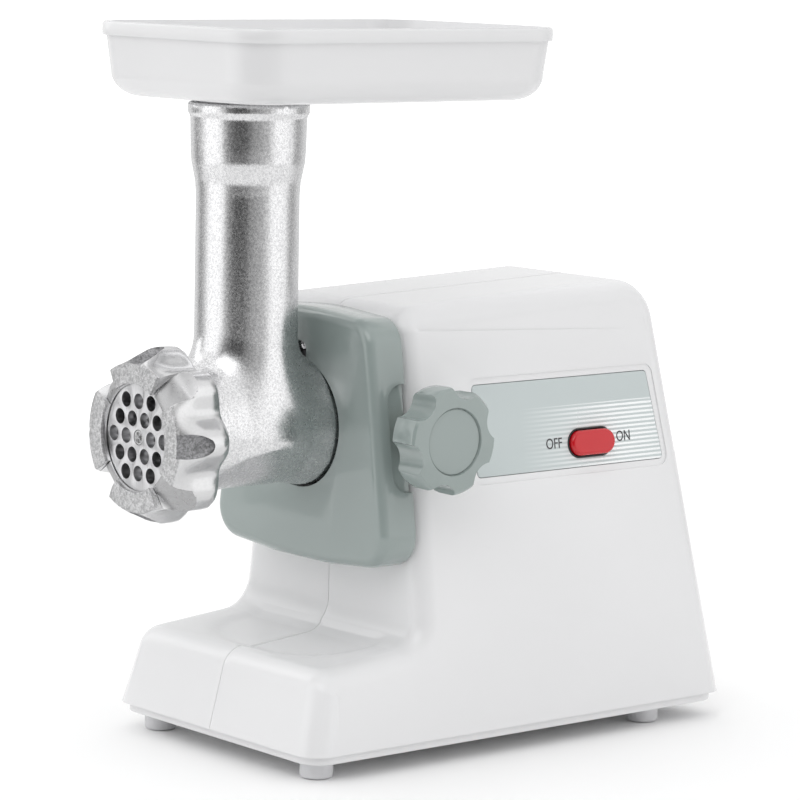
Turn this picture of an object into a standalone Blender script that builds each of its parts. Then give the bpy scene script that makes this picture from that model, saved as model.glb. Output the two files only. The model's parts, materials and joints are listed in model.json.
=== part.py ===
"""Electric meat grinder: cast head with hopper on a two-shell motor housing. Metres, +Z up.

Built round the auger axis (x = 0) and the chute axis (y = 0) with the feet on z = 0, the ring nut
facing -Y and the clamp knob on +X. The last step moves everything so that the origin is the
centre of the base of the bounding box.
"""

import math

import bmesh
import bpy
from mathutils import Matrix, Vector

GAP = 0.0003
AUGER_Z = 0.1501
WALL = 0.0022
FOOT_HEIGHT = 0.0082
FOOT_RADIUS = 0.0075
BODY_BOTTOM = 0.0125
BODY_FRONT_Y = 0.0505
BODY_EDGE = 0.010
SIDE_X = 0.053
SIDE_Z = 0.173
SIDE_DRAFT = 0.1427
FACEPLATE_FRONT = 0.031
PLATE_FACE_Y = -0.0592
PLATE_RADIUS = 0.027
PLATE_THICK = 0.0045
HOLE_PITCH = 0.00935
HOLE_RADIUS = 0.0035
BARREL_RADIUS = 0.0264
BARREL_BORE = 0.0243
AUGER_RADIUS = 0.0236
CHUTE_RADIUS = 0.0234
CHUTE_TOP = 0.2978
TRAY_TOP = 0.3325
TRAY_BOTTOM = 0.2990
TRAY_HALF_WIDTH = 0.063
TRAY_FRONT = -0.047
TRAY_BACK = 0.138
KNOB_Y = 0.052
KNOB_FACE = 0.0866
KNOB_RADIUS = 0.0242
SWITCH_Y = 0.1608
SWITCH_Z = 0.1381
MODULE_MOTOR = 0.00125
MODULE_OUTPUT = 0.0015
PINION_TEETH = 9
WHEEL_TEETH = 36
COUNTER_Z = AUGER_Z - MODULE_OUTPUT * (PINION_TEETH + WHEEL_TEETH) / 2
MOTOR_Z = COUNTER_Z - MODULE_MOTOR * (PINION_TEETH + WHEEL_TEETH) / 2

FORWARD = Matrix.Rotation(math.radians(90), 4, "X")     # local +Z points to -Y
BACKWARD = Matrix.Rotation(math.radians(-90), 4, "X")   # local +Z points to +Y
SIDEWAYS = Matrix.Rotation(math.radians(90), 4, "Y")    # local +Z points to +X
UPRIGHT = Matrix.Identity(4)
SIDE_TILT = Matrix.Rotation(math.atan(SIDE_DRAFT), 4, "Y")

COLOURS = {
    "white_plastic": ((0.86, 0.86, 0.87), 0.25, 0.0),
    "grey_plastic": ((0.34, 0.40, 0.38), 0.25, 0.0),
    "panel_silver": ((0.58, 0.62, 0.62), 0.35, 0.2),
    "red_plastic": ((0.62, 0.01, 0.015), 0.3, 0.0),
    "black_plastic": ((0.02, 0.02, 0.02), 0.5, 0.0),
    "cast_aluminium": ((0.70, 0.70, 0.70), 0.35, 1.0),
    "steel": ((0.56, 0.56, 0.58), 0.3, 1.0),
    "copper": ((0.60, 0.25, 0.10), 0.4, 1.0),
    "brass": ((0.65, 0.48, 0.20), 0.35, 1.0),
    "gear_nylon": ((0.80, 0.78, 0.70), 0.45, 0.0),
    "rubber": ((0.75, 0.75, 0.76), 0.7, 0.0),
}


def side_x(z):
    """Half width of the drafted housing at a height."""
    return SIDE_X + (SIDE_Z - z) * SIDE_DRAFT


def clear_scene():
    for obj in list(bpy.data.objects):
        bpy.data.objects.remove(obj, do_unlink=True)


def collection(name):
    group = bpy.data.collections.new(name)
    bpy.context.scene.collection.children.link(group)
    return group


def material(name):
    found = bpy.data.materials.get(name)
    if found:
        return found
    colour, roughness, metallic = COLOURS[name]
    made = bpy.data.materials.new(name)
    made.use_nodes = True
    shader = made.node_tree.nodes["Principled BSDF"]
    shader.inputs["Base Color"].default_value = (*colour, 1)
    shader.inputs["Roughness"].default_value = roughness
    shader.inputs["Metallic"].default_value = metallic
    return made


def add_mesh(name, mesh, look, place, turn=UPRIGHT):
    """A named part, or a cutter when look is None."""
    obj = bpy.data.objects.new(name, mesh)
    obj.matrix_world = Matrix.Translation(place) @ turn
    if look is None:
        CUTTERS.objects.link(obj)
        obj.hide_render = True
        obj.display_type = "WIRE"
        return obj
    PARTS.objects.link(obj)
    mesh.materials.append(material(look))
    mesh.shade_smooth()
    mesh.set_sharp_from_angle(angle=math.radians(35))
    return obj


def mesh_from(name, bm):
    bmesh.ops.recalc_face_normals(bm, faces=bm.faces)
    mesh = bpy.data.meshes.new(name)
    bm.to_mesh(mesh)
    bm.free()
    return mesh


def cut(target, tool, operation="DIFFERENCE"):
    modifier = target.modifiers.new(tool.name, "BOOLEAN")
    modifier.operation = operation
    modifier.object = tool


def box(name, size, place, look=None, bevel=0.0, turn=UPRIGHT):
    bm = bmesh.new()
    bmesh.ops.create_cube(bm, size=1.0)
    bmesh.ops.scale(bm, vec=Vector(size), verts=bm.verts)
    if bevel:
        bmesh.ops.bevel(bm, geom=bm.edges, offset=bevel, segments=2, affect="EDGES", profile=0.5)
    return add_mesh(name, mesh_from(name, bm), look, place, turn)


def cylinder(name, radius, length, place, turn, look=None, sides=32, bevel=0.0):
    """A cylinder centred on its place, along the turned local Z."""
    bm = bmesh.new()
    bmesh.ops.create_cone(
        bm, cap_ends=True, segments=sides, radius1=radius, radius2=radius, depth=length
    )
    if bevel:
        rims = [e for e in bm.edges if abs(e.verts[0].co.z - e.verts[1].co.z) < 1e-7]
        bmesh.ops.bevel(bm, geom=rims, offset=bevel, segments=2, affect="EDGES", profile=0.5)
    return add_mesh(name, mesh_from(name, bm), look, place, turn)


def turned(name, profile, place, turn, look=None, steps=32):
    """A closed (radius, height) profile swept round local Z with a Screw modifier."""
    bm = bmesh.new()
    points = [bm.verts.new((radius, 0, height)) for radius, height in profile]
    on_axis = profile[0][0] == 0 and profile[-1][0] == 0
    for first, second in zip(points, points[1:]):
        bm.edges.new((first, second))
    if not on_axis:
        bm.edges.new((points[-1], points[0]))
    mesh = bpy.data.meshes.new(name)
    bm.to_mesh(mesh)
    bm.free()
    obj = add_mesh(name, mesh, look, place, turn)
    screw = obj.modifiers.new("Screw", "SCREW")
    screw.steps = steps
    screw.render_steps = steps
    screw.use_merge_vertices = True
    screw.merge_threshold = 0.00001
    return obj


def ring(name, outer, inner, low, high, place, turn, look=None, steps=32):
    profile = [(outer, high), (outer, low), (inner, low), (inner, high)]
    return turned(name, profile, place, turn, look, steps)


def lofted(name, rings, look, place, turn=UPRIGHT):
    """A skin over rings with equal point counts, capped at both ends."""
    bm = bmesh.new()
    rows = [[bm.verts.new(point) for point in points] for points in rings]
    count = len(rows[0])
    for low, high in zip(rows, rows[1:]):
        for i in range(count):
            j = (i + 1) % count
            bm.faces.new((low[i], low[j], high[j], high[i]))
    bm.faces.new(rows[0])
    bm.faces.new(rows[-1])
    return add_mesh(name, mesh_from(name, bm), look, place, turn)


def rounded(corners, arc_steps=4):
    """Points of a closed outline of (u, v, radius) corners."""
    points = []
    count = len(corners)
    for i, (u, v, radius) in enumerate(corners):
        here = Vector((u, v))
        before = (Vector(corners[i - 1][:2]) - here).normalized()
        after = (Vector(corners[(i + 1) % count][:2]) - here).normalized()
        if radius == 0:
            points.append(here)
            continue
        half = before.angle(after) / 2
        centre = here + (before + after).normalized() * radius / math.sin(half)
        first = here + before * radius / math.tan(half) - centre
        last = here + after * radius / math.tan(half) - centre
        sweep = first.angle_signed(last)
        for k in range(arc_steps + 1):
            angle = -sweep * k / arc_steps
            cos, sin = math.cos(angle), math.sin(angle)
            turned_point = Vector((first.x * cos - first.y * sin, first.x * sin + first.y * cos))
            points.append(centre + turned_point)
    return points


def inset(points, distance):
    """Moves each point of a closed counter-clockwise outline inwards."""
    moved = []
    for i, here in enumerate(points):
        before = (here - points[i - 1]).normalized()
        after = (points[(i + 1) % len(points)] - here).normalized()
        normal = Vector((-before.y - after.y, before.x + after.x)).normalized()
        moved.append(here + normal * distance / max(normal.dot(Vector((-before.y, before.x))), 0.5))
    return moved


# ---------------------------------------------------------------- housing shells
def body_outline(distance):
    """Side outline (y, z) of the housing, counter-clockwise seen from +X, moved inwards."""
    corners = [
        (-0.0180, BODY_BOTTOM, 0), (0.2375, BODY_BOTTOM, 0), (0.2085, 0.2125, 0.020),
        (BODY_FRONT_Y, 0.2060, 0.011), (BODY_FRONT_Y, 0.0540, 0.014), (-0.0085, 0.0485, 0.011),
    ]
    points = inset(rounded(corners), distance)
    if distance:
        for point in points[:2]:
            point.y = BODY_BOTTOM - 0.004
    return points


def side_block(name, outline, start, distance, edge, mirror):
    """Half of the body: the outline drawn out to the drafted side, with a rounded side edge."""
    bm = bmesh.new()
    base = bm.faces.new([bm.verts.new((start, point.x, point.y)) for point in outline])
    made = bmesh.ops.extrude_face_region(bm, geom=[base])
    side = [v for v in made["geom"] if isinstance(v, bmesh.types.BMVert)]
    for vert in side:
        vert.co.x = side_x(vert.co.z) - distance
    around = [e for e in bm.edges if all(v in side for v in e.verts)]
    around = [e for e in around if max(v.co.z for v in e.verts) > BODY_BOTTOM + 0.001]
    bmesh.ops.bevel(
        bm, geom=around, offset=edge, segments=4, affect="EDGES", profile=0.5, clamp_overlap=False
    )
    if mirror:
        bmesh.ops.scale(bm, vec=Vector((-1, 1, 1)), verts=bm.verts)
    return mesh_from(name, bm)


def housing(name, mirror):
    sign = -1 if mirror else 1
    outer = side_block(name, body_outline(0), GAP / 2, 0, BODY_EDGE, mirror)
    inner = side_block(name + "_hollow", body_outline(WALL), -0.001, WALL, BODY_EDGE - WALL, mirror)
    shell = add_mesh(name, outer, "white_plastic", (0, 0, 0))
    cut(shell, add_mesh(name + "_hollow", inner, None, (0, 0, 0)))
    cut(shell, cylinder(name + "_front_hole", 0.0342, 0.02, (0, BODY_FRONT_Y, AUGER_Z), FORWARD))
    cut(shell, cylinder(name + "_cord_hole", 0.0063, 0.02, (0, 0.2348, 0.034), FORWARD, sides=16))
    for row in range(5):
        height = 0.075 + 0.009 * row
        size = (0.030, 0.030, 0.0035)
        cut(shell, box(f"{name}_vent_{row}", size, (sign * 0.024, 0.229, height)))
    return shell


def right_housing():
    shell = housing("right_housing", False)
    cut(shell, box("stud_notch", (0.044, 0.0104, 0.0104), (0.052, KNOB_Y, AUGER_Z)))
    rings = panel_rings(-0.004, 0.006, GAP)
    cut(shell, lofted("panel_opening", rings, None, (0, 0, 0)))


def left_housing():
    housing("left_housing", True)


def panel_rings(low, high, grow):
    """Two outlines of the slanted control panel, at depths along the side's outward normal."""
    corners = [
        (0.0900 - grow, 0.1270 - grow, 0.002), (0.2070 + grow, 0.1270 - grow, 0.002),
        (0.1995 + grow, 0.1690 + grow, 0.002), (0.0900 - grow, 0.1690 + grow, 0.002),
    ]
    flat = rounded(corners, 2)
    return [[(side_x(p.y) + depth, p.x, p.y) for p in flat] for depth in (low, high)]


def control_panel():
    panel = lofted("control_panel", panel_rings(-0.0026, -0.0006, 0), "panel_silver", (0, 0, 0))
    cut(panel, stadium("switch_window", 0.0142, 0.0066, 0.02, None))


def stadium(name, half_length, half_height, depth, look, bevel=0.0):
    """A race-track block on the side face, long in Y."""
    run = half_length - half_height
    outline = []
    for k in range(13):
        angle = -math.pi / 2 + math.pi * k / 12
        outline.append((run + half_height * math.cos(angle), half_height * math.sin(angle)))
    outline += [(-y, -z) for y, z in outline]
    rings = [
        [(-depth / 2, y, z) for y, z in outline],
        [(depth / 2 - bevel, y, z) for y, z in outline],
    ]
    if bevel:
        small = 1 - bevel / half_height
        rings.append([(depth / 2, y * small, z * small) for y, z in outline])
    place = (side_x(SWITCH_Z), SWITCH_Y, SWITCH_Z)
    return lofted(name, rings, look, place, SIDE_TILT.inverted() @ UPRIGHT)


def switch():
    button = stadium("switch_button", 0.0136, 0.0060, 0.0062, "red_plastic", 0.0012)
    button.matrix_world = button.matrix_world @ Matrix.Rotation(math.radians(-5), 4, "Z")
    body = box("switch_body", (0.012, 0.034, 0.020), (0, 0, 0), "black_plastic", 0.001)
    body.matrix_world = button.matrix_world @ Matrix.Rotation(math.radians(5), 4, "Z")
    body.matrix_world = body.matrix_world @ Matrix.Translation((-0.0113, 0, 0))


def base():
    corners = [
        (-0.074, -0.0155, 0.012), (0.074, -0.0155, 0.012),
        (0.074, 0.2350, 0.012), (-0.074, 0.2350, 0.012),
    ]
    outline = rounded(corners)
    low, high = FOOT_HEIGHT + GAP, BODY_BOTTOM - GAP
    rings = [[(p.x, p.y, z) for p in outline] for z in (low, high)]
    plate = lofted("base_plate", rings, "white_plastic", (0, 0, 0))
    for row in range(6):
        cut(plate, box(f"base_vent_{row}", (0.05, 0.004, 0.02), (0, 0.125 + 0.010 * row, 0.010)))
    places = {"front": -0.0023, "rear": 0.1979}
    for end, y in places.items():
        for hand, x in (("left", -0.0592), ("right", 0.0592)):
            middle = (x, y, FOOT_HEIGHT / 2)
            name = f"foot_{end}_{hand}"
            cylinder(name, FOOT_RADIUS, FOOT_HEIGHT, middle, UPRIGHT, "rubber", 24, 0.0008)


# ---------------------------------------------------------------- faceplate
def faceplate_outline(distance):
    corners = [
        (-0.0650, 0.0905, 0.015), (-0.0200, 0.0868, 0.10), (0.0200, 0.0868, 0.10),
        (0.0650, 0.0905, 0.015), (0.0487, 0.2010, 0.014), (0.0, 0.2046, 0.20),
        (-0.0487, 0.2010, 0.014),
    ]
    return inset(rounded(corners), distance)


def faceplate():
    depth = BODY_FRONT_Y - GAP
    edge = 0.005
    rings = [[(p.x, depth, p.y) for p in faceplate_outline(0)]]
    for k in range(4):
        angle = math.pi / 2 * k / 3
        sink = edge * (1 - math.cos(angle))
        y = FACEPLATE_FRONT + edge * (1 - math.sin(angle))
        rings.append([(p.x, y, p.y) for p in faceplate_outline(sink)])
    plate = lofted("faceplate", rings, "grey_plastic", (0, 0, 0))
    wall = 0.0030
    hollow = faceplate_outline(wall + 0.0008)
    rings = [[(p.x, y, p.y) for p in hollow] for y in (depth + 0.002, FACEPLATE_FRONT + wall)]
    cut(plate, lofted("faceplate_hollow", rings, None, (0, 0, 0)))
    cut(plate, cylinder("head_hole", 0.0295, 0.02, (0, 0.032, AUGER_Z), FORWARD, sides=48))
    cut(plate, box("keyway", (0.0094, 0.02, 0.042), (0, 0.032, AUGER_Z + 0.0170), bevel=0.002))
    recess = box("knob_recess", (0.006, 0.020, 0.046), (0, 0, 0), bevel=0.0028)
    recess.matrix_world = Matrix.Translation((side_x(0.1485) + 0.0018, 0.0500, 0.1485)) @ SIDE_TILT.inverted()
    cut(plate, recess)
    cut(plate, box("faceplate_stud_notch", (0.044, 0.0104, 0.0104), (0.052, KNOB_Y, AUGER_Z)))


# ---------------------------------------------------------------- head, auger, blade, plate, nut
def grinder_head():
    place = (0, 0, AUGER_Z)
    outer = [
        (0, 0.0540), (0.0274, 0.0540), (0.0274, 0.0360), (0.0280, 0.0300), (BARREL_RADIUS, 0.0180),
        (BARREL_RADIUS, -0.0200), (0.0284, -0.0290), (0.0284, -0.0660), (0, -0.0660),
    ]
    head = turned("grinder_head", outer, place, FORWARD, "cast_aluminium", 36)
    rise = CHUTE_TOP - AUGER_Z
    chute = [
        (0, rise), (0.0275, rise), (0.0275, rise - 0.0045), (0.0263, rise - 0.0065),
        (0.0260, 0.1270), (0.0235, 0.1100), (CHUTE_RADIUS, 0.0360), (0.0262, 0.0200), (0, 0.0),
    ]
    cut(head, turned("chute_outside", chute, place, UPRIGHT, None, 36), "UNION")
    bore = [
        (0, 0.0560), (BARREL_BORE, 0.0560), (BARREL_BORE, -0.0360), (0.0085, -0.0360),
        (0.0085, -0.0460), (0.0240, -0.0460), (0.0240, -0.0680), (0, -0.0680),
    ]
    cut(head, turned("barrel_bore", bore, place, FORWARD, None, 36))
    throat = [(0, rise + 0.002), (0.0238, rise + 0.002), (0.0238, 0.1230), (0.0208, 0.1080),
              (0.0208, 0.0), (0, 0.0)]
    cut(head, turned("chute_bore", throat, place, UPRIGHT, None, 36))


def auger():
    place = (0, 0, AUGER_Z)
    pitch, turns, steps = 0.021, 4, 16
    start = -0.0352
    core = [
        (0, 0.0590), (0.0032, 0.0590), (0.0032, 0.0540), (0.0049, 0.0540), (0.0049, 0.0493),
        (0.0100, 0.0493), (0.0120, -0.0350), (0.0080, -0.0350), (0.0080, -0.0480),
        (0.0040, -0.0480), (0.0040, -0.0550), (0, -0.0550),
    ]
    screw_body = turned("auger", core, place, FORWARD, "cast_aluminium", 16)
    cut(screw_body, box("auger_square_tail", (0.0096, 0.0130, 0.0096), (0, 0.0540, AUGER_Z)), "UNION")
    bm = bmesh.new()
    profile = [(0.0090, 0.0050), (AUGER_RADIUS, 0.0036), (AUGER_RADIUS, 0.0014), (0.0090, 0.0)]
    points = [bm.verts.new((radius, 0, start + height)) for radius, height in profile]
    for i, point in enumerate(points):
        bm.edges.new((point, points[(i + 1) % len(points)]))
    geom = list(bm.verts) + list(bm.edges)
    total = steps * (turns - 1) + steps * 3 // 4
    bmesh.ops.spin(
        bm, geom=geom, cent=(0, 0, 0), axis=(0, 0, 1), dvec=(0, 0, pitch / steps),
        angle=2 * math.pi * total / steps, steps=total,
    )
    bmesh.ops.remove_doubles(bm, verts=bm.verts, dist=1e-7)
    bmesh.ops.holes_fill(bm, edges=bm.edges, sides=4)
    flight = add_mesh("flight", mesh_from("flight", bm), None, place, FORWARD)
    cut(screw_body, flight, "UNION")
    ring("auger_washer", 0.0160, 0.0084, -0.0357, -0.0353, place, FORWARD, "gear_nylon", 24)


def cutting_blade():
    place = (0, 0, AUGER_Z)
    low, high = 0.0496, 0.0543
    blade = ring("cutting_blade", 0.0095, 0.0053, low, high, place, FORWARD, "steel", 24)
    for k in range(2):
        turn = FORWARD @ Matrix.Rotation(math.pi / 2 * k, 4, "Z")
        middle = Vector(place) + FORWARD @ Vector((0, 0, (low + high) / 2))
        arms = box(f"blade_arms_{k}", (0.046, 0.0075, high - low - 0.0002 * (k + 1)), middle, turn=turn)
        cut(arms, cylinder(f"blade_eye_{k}", 0.0070, 0.02, middle, FORWARD, sides=24))
        cut(blade, arms, "UNION")


def grinding_plate():
    place = (0, 0, AUGER_Z)
    plate = cylinder("grinding_plate", PLATE_RADIUS, PLATE_THICK,
                     (0, PLATE_FACE_Y + PLATE_THICK / 2, AUGER_Z), FORWARD, "steel", 48)
    cut(plate, cylinder("stub_hole", 0.0035, 0.02, (0, PLATE_FACE_Y, AUGER_Z), FORWARD, sides=16))
    for row in range(-2, 3):
        count = 5 - abs(row)
        for k in range(count):
            x = (k - (count - 1) / 2) * HOLE_PITCH
            if abs(x) < 0.001 and row == 0:
                continue
            z = AUGER_Z + row * HOLE_PITCH * math.sqrt(3) / 2
            hole = cylinder(f"plate_hole_{row}_{k}", HOLE_RADIUS, 0.02, (x, PLATE_FACE_Y, z),
                            FORWARD, sides=10)
            cut(plate, hole)


def lobed(radius, dip, lobes, height, count=64, phase=0.0):
    """A round outline with dips between its lobes."""
    points = []
    for i in range(count):
        angle = 2 * math.pi * i / count
        wave = (1 - math.cos(lobes * (angle - phase))) / 2
        reach = radius - dip * wave ** 2
        points.append((reach * math.cos(angle), reach * math.sin(angle), height))
    return points


def ring_nut():
    place = (0, 0, AUGER_Z)
    stations = [(0.0360, 0.0375, 0.0030), (0.0405, 0.0398, 0.0040), (0.0520, 0.0398, 0.0040),
                (0.0560, 0.0372, 0.0025), (0.0625, 0.0330, 0.0)]
    rings = [lobed(radius, dip, 8, height) for height, radius, dip in stations]
    nut = lofted("ring_nut", rings, "cast_aluminium", place, FORWARD)
    bore = [(0, 0.0650), (0.0240, 0.0650), (0.0240, 0.0596), (0.0280, 0.0596), (0.0280, 0.0350),
            (0, 0.0350)]
    cut(nut, turned("nut_bore", bore, place, FORWARD, None, 36))
    for k in range(4):
        turn = FORWARD @ Matrix.Rotation(math.pi / 4 + math.pi / 2 * k, 4, "Z")
        middle = Vector(place) + turn @ Vector((0.034, 0, 0.0625))
        cut(nut, box(f"nut_notch_{k}", (0.030, 0.0140, 0.0076), middle, turn=turn))


# ---------------------------------------------------------------- hopper tray
def tray_block(name, top, bottom, shrink, look=None):
    """A drafted tray outline block with rounded corners and a rounded lower edge."""
    middle = (TRAY_FRONT + TRAY_BACK) / 2
    half_x, half_y = TRAY_HALF_WIDTH - shrink, (TRAY_BACK - TRAY_FRONT) / 2 - shrink
    radius, edge = 0.022 - shrink, 0.011 - shrink / 2
    rings = []
    levels = [(top, 0.0)]
    for k in range(5):
        angle = math.pi / 2 * k / 4
        levels.append((bottom + edge * (1 - math.sin(angle)), 0.0025 + edge * (1 - math.cos(angle))))
    for z, pull in levels:
        x, y, corner = half_x - pull, half_y - pull, max(radius - pull * 0.5, 0.004)
        corners = [(-x, -y, corner), (x, -y, corner), (x, y, corner), (-x, y, corner)]
        rings.append([(p.x, p.y + middle, z) for p in rounded(corners, 5)])
    return lofted(name, rings, look, (0, 0, 0))


def hopper_tray():
    tray = tray_block("hopper_tray", TRAY_TOP, TRAY_BOTTOM, 0.0008, "white_plastic")
    middle = (TRAY_FRONT + TRAY_BACK) / 2
    rim_rings = []
    for z in (TRAY_TOP - 0.0062, TRAY_TOP - 0.0001):
        x, y = TRAY_HALF_WIDTH, (TRAY_BACK - TRAY_FRONT) / 2
        corners = [(-x, -y, 0.022), (x, -y, 0.022), (x, y, 0.022), (-x, y, 0.022)]
        rim_rings.append([(p.x, p.y + middle, z) for p in rounded(corners, 5)])
    cut(tray, lofted("tray_rim", rim_rings, None, (0, 0, 0)), "UNION")
    spout = cylinder("tray_spout", 0.0232, 0.0270, (0, 0, 0.2875), UPRIGHT, sides=48)
    cut(tray, spout, "UNION")
    cut(tray, tray_block("tray_hollow", TRAY_TOP + 0.001, TRAY_BOTTOM + 0.0022, 0.0032))
    cut(tray, cylinder("spout_bore", 0.0212, 0.06, (0, 0, 0.2900), UPRIGHT, sides=48))


# ---------------------------------------------------------------- knob
def clamp_knob():
    place = (0, KNOB_Y, AUGER_Z)
    phase = math.radians(16)
    stations = [(0.0700, 0.0230, 0.0030), (0.0712, 0.0240, 0.0044), (0.0820, KNOB_RADIUS, 0.0046),
                (0.0850, 0.0236, 0.0044), (KNOB_FACE, 0.0222, 0.0040)]
    turn = SIDEWAYS @ Matrix.Rotation(math.pi / 2, 4, "Z")
    rings = [lobed(radius, dip, 6, height, 60, phase + math.pi / 6) for height, radius, dip in stations]
    knob = lofted("clamp_knob", rings, "grey_plastic", place, turn)
    cut(knob, cylinder("knob_cap_seat", 0.0152, 0.004, (0.0873, KNOB_Y, AUGER_Z), SIDEWAYS))
    neck = cylinder("knob_neck", 0.0110, 0.0120, (0.0655, KNOB_Y, AUGER_Z), SIDEWAYS, sides=32)
    cut(knob, neck, "UNION")
    cut(knob, cylinder("knob_bore", 0.0043, 0.030, (0.0650, KNOB_Y, AUGER_Z), SIDEWAYS, sides=16))
    cylinder("knob_cap", 0.0148, 0.0006, (0.0859, KNOB_Y, AUGER_Z), SIDEWAYS, "grey_plastic", 32)
    cylinder("knob_stud", 0.0040, 0.0505, (0.02885 + 0.0255, KNOB_Y, AUGER_Z), SIDEWAYS,
                    "steel", 16)
    ring("knob_washer", 0.0100, 0.0044, 0.0579, 0.0591, place, SIDEWAYS, "gear_nylon", 24)


# ---------------------------------------------------------------- drive train
def gear_outline(teeth, module):
    """Tooth outline with straight flanks and working backlash."""
    points = []
    pitch = teeth * module / 2
    for k in range(teeth):
        middle = 2 * math.pi * k / teeth
        for radius, share in ((pitch - 1.2 * module, -0.34), (pitch, -0.215), (pitch + 0.9 * module, -0.10),
                              (pitch + 0.9 * module, 0.10), (pitch, 0.215), (pitch - 1.2 * module, 0.34)):
            angle = middle + share * 2 * math.pi / teeth
            points.append((radius * math.cos(angle), radius * math.sin(angle)))
    return points


def gear(name, teeth, module, front, back, height, look, bore, phase=0.0):
    """A spur gear between two Y positions with its axis at a height; phase in teeth."""
    turn = BACKWARD @ Matrix.Rotation(2 * math.pi * phase / teeth, 4, "Z")
    outline = gear_outline(teeth, module)
    rings = [[(x, y, z) for x, y in outline] for z in (0, back - front)]
    made = lofted(name, rings, look, (0, front, height), turn)
    if bore:
        hole = cylinder(name + "_bore", bore, 0.06, (0, front, height), FORWARD, sides=20)
        cut(made, hole)
    return made


def drive_train():
    gear("output_gear", WHEEL_TEETH, MODULE_OUTPUT, 0.0800, 0.0900, AUGER_Z,
                  "gear_nylon", 0.0073)
    shaft = [(0, 0.0955), (0.0050, 0.0955), (0.0050, 0.0903), (0.0070, 0.0903), (0.0070, 0.0720),
             (0.0110, 0.0700), (0.0110, 0.0520), (0, 0.0520)]
    drive = turned("output_shaft", shaft, (0, 0, AUGER_Z), BACKWARD, "steel", 24)
    cut(drive, box("drive_socket", (0.0104, 0.0220, 0.0104), (0, 0.0520, AUGER_Z)))
    counter = gear("counter_gear", WHEEL_TEETH, MODULE_MOTOR, 0.0912, 0.0980, COUNTER_Z,
                   "gear_nylon", 0)
    pinion = gear("counter_pinion", PINION_TEETH, MODULE_OUTPUT, 0.0795, 0.0920, COUNTER_Z,
                  None, 0, 0.25)
    cut(counter, pinion, "UNION")
    cut(counter, cylinder("counter_bore", 0.0033, 0.08, (0, 0.09, COUNTER_Z), FORWARD, sides=16))
    cylinder("counter_pin", 0.0030, 0.0265, (0, 0.0900, COUNTER_Z), FORWARD, "steel", 16)
    gear("motor_pinion", PINION_TEETH, MODULE_MOTOR, 0.0912, 0.0990, MOTOR_Z, "brass", 0.0033, 0.25)


def gearbox():
    corners = [(-0.033, 0.052, 0.012), (0.033, 0.052, 0.012), (0.036, 0.1855, 0.014),
               (-0.036, 0.1855, 0.014)]
    outline = rounded(corners, 3)
    rings = [[(p.x, y, p.y) for p in outline] for y in (0.0753, 0.1020)]
    case = lofted("gearbox_case", rings, "black_plastic", (0, 0, 0))
    hollow = inset(outline, 0.0025)
    rings = [[(p.x, y, p.y) for p in hollow] for y in (0.0780, 0.1040)]
    cut(case, lofted("gearbox_hollow", rings, None, (0, 0, 0)))
    cut(case, cylinder("bush_seat", 0.0103, 0.02, (0, 0.078, AUGER_Z), FORWARD, sides=24))
    cut(case, cylinder("front_pin_seat", 0.0033, 0.02, (0, 0.078, COUNTER_Z), FORWARD, sides=16))
    ring("output_bush", 0.0100, 0.0073, 0.0745, 0.0795, (0, 0, AUGER_Z), BACKWARD, "brass", 24)
    rings = [[(p.x, y, p.y) for p in outline] for y in (0.1023, 0.1048)]
    cover = lofted("gearbox_cover", rings, "black_plastic", (0, 0, 0))
    cut(cover, cylinder("shaft_pass", 0.0093, 0.02, (0, 0.1035, MOTOR_Z), FORWARD, sides=24))
    cut(cover, cylinder("rear_pin_seat", 0.0033, 0.02, (0, 0.1035, COUNTER_Z), FORWARD, sides=16))


def head_socket():
    profile = [(0.0334, 0.0345), (0.0288, 0.0345), (0.0288, 0.0705), (0.0125, 0.0705),
               (0.0125, 0.0740), (0.0334, 0.0740)]
    socket = turned("head_socket", profile, (0, 0, AUGER_Z), BACKWARD, "black_plastic", 48)
    ear = box("socket_ear", (0.0130, 0.0075, 0.0120), (0, 0.0420, AUGER_Z + 0.0370))
    cut(socket, ear, "UNION")
    cut(socket, cylinder("ear_hole", 0.0023, 0.02, (0, 0.042, AUGER_Z + 0.037), FORWARD, sides=12))
    cut(socket, cylinder("stud_way", 0.0044, 0.02, (0.031, KNOB_Y, AUGER_Z), SIDEWAYS, sides=16))
    screw("socket_screw", (0, 0.0380, AUGER_Z + 0.0370), FORWARD, 0.0036, 0.0018, 0.0100)


def screw(name, place, turn, head_radius, shank_radius, length):
    """A pan-head screw whose head bears at its place and points along the turned Z."""
    profile = [(0, 0.0022), (head_radius * 0.6, 0.0022), (head_radius, 0.0010),
               (head_radius, 0.0), (shank_radius, 0.0), (shank_radius, -length), (0, -length)]
    made = turned(name, profile, place, turn, "steel", 16)
    made.location += turn.to_3x3() @ Vector((0, 0, GAP))
    return made


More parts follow.
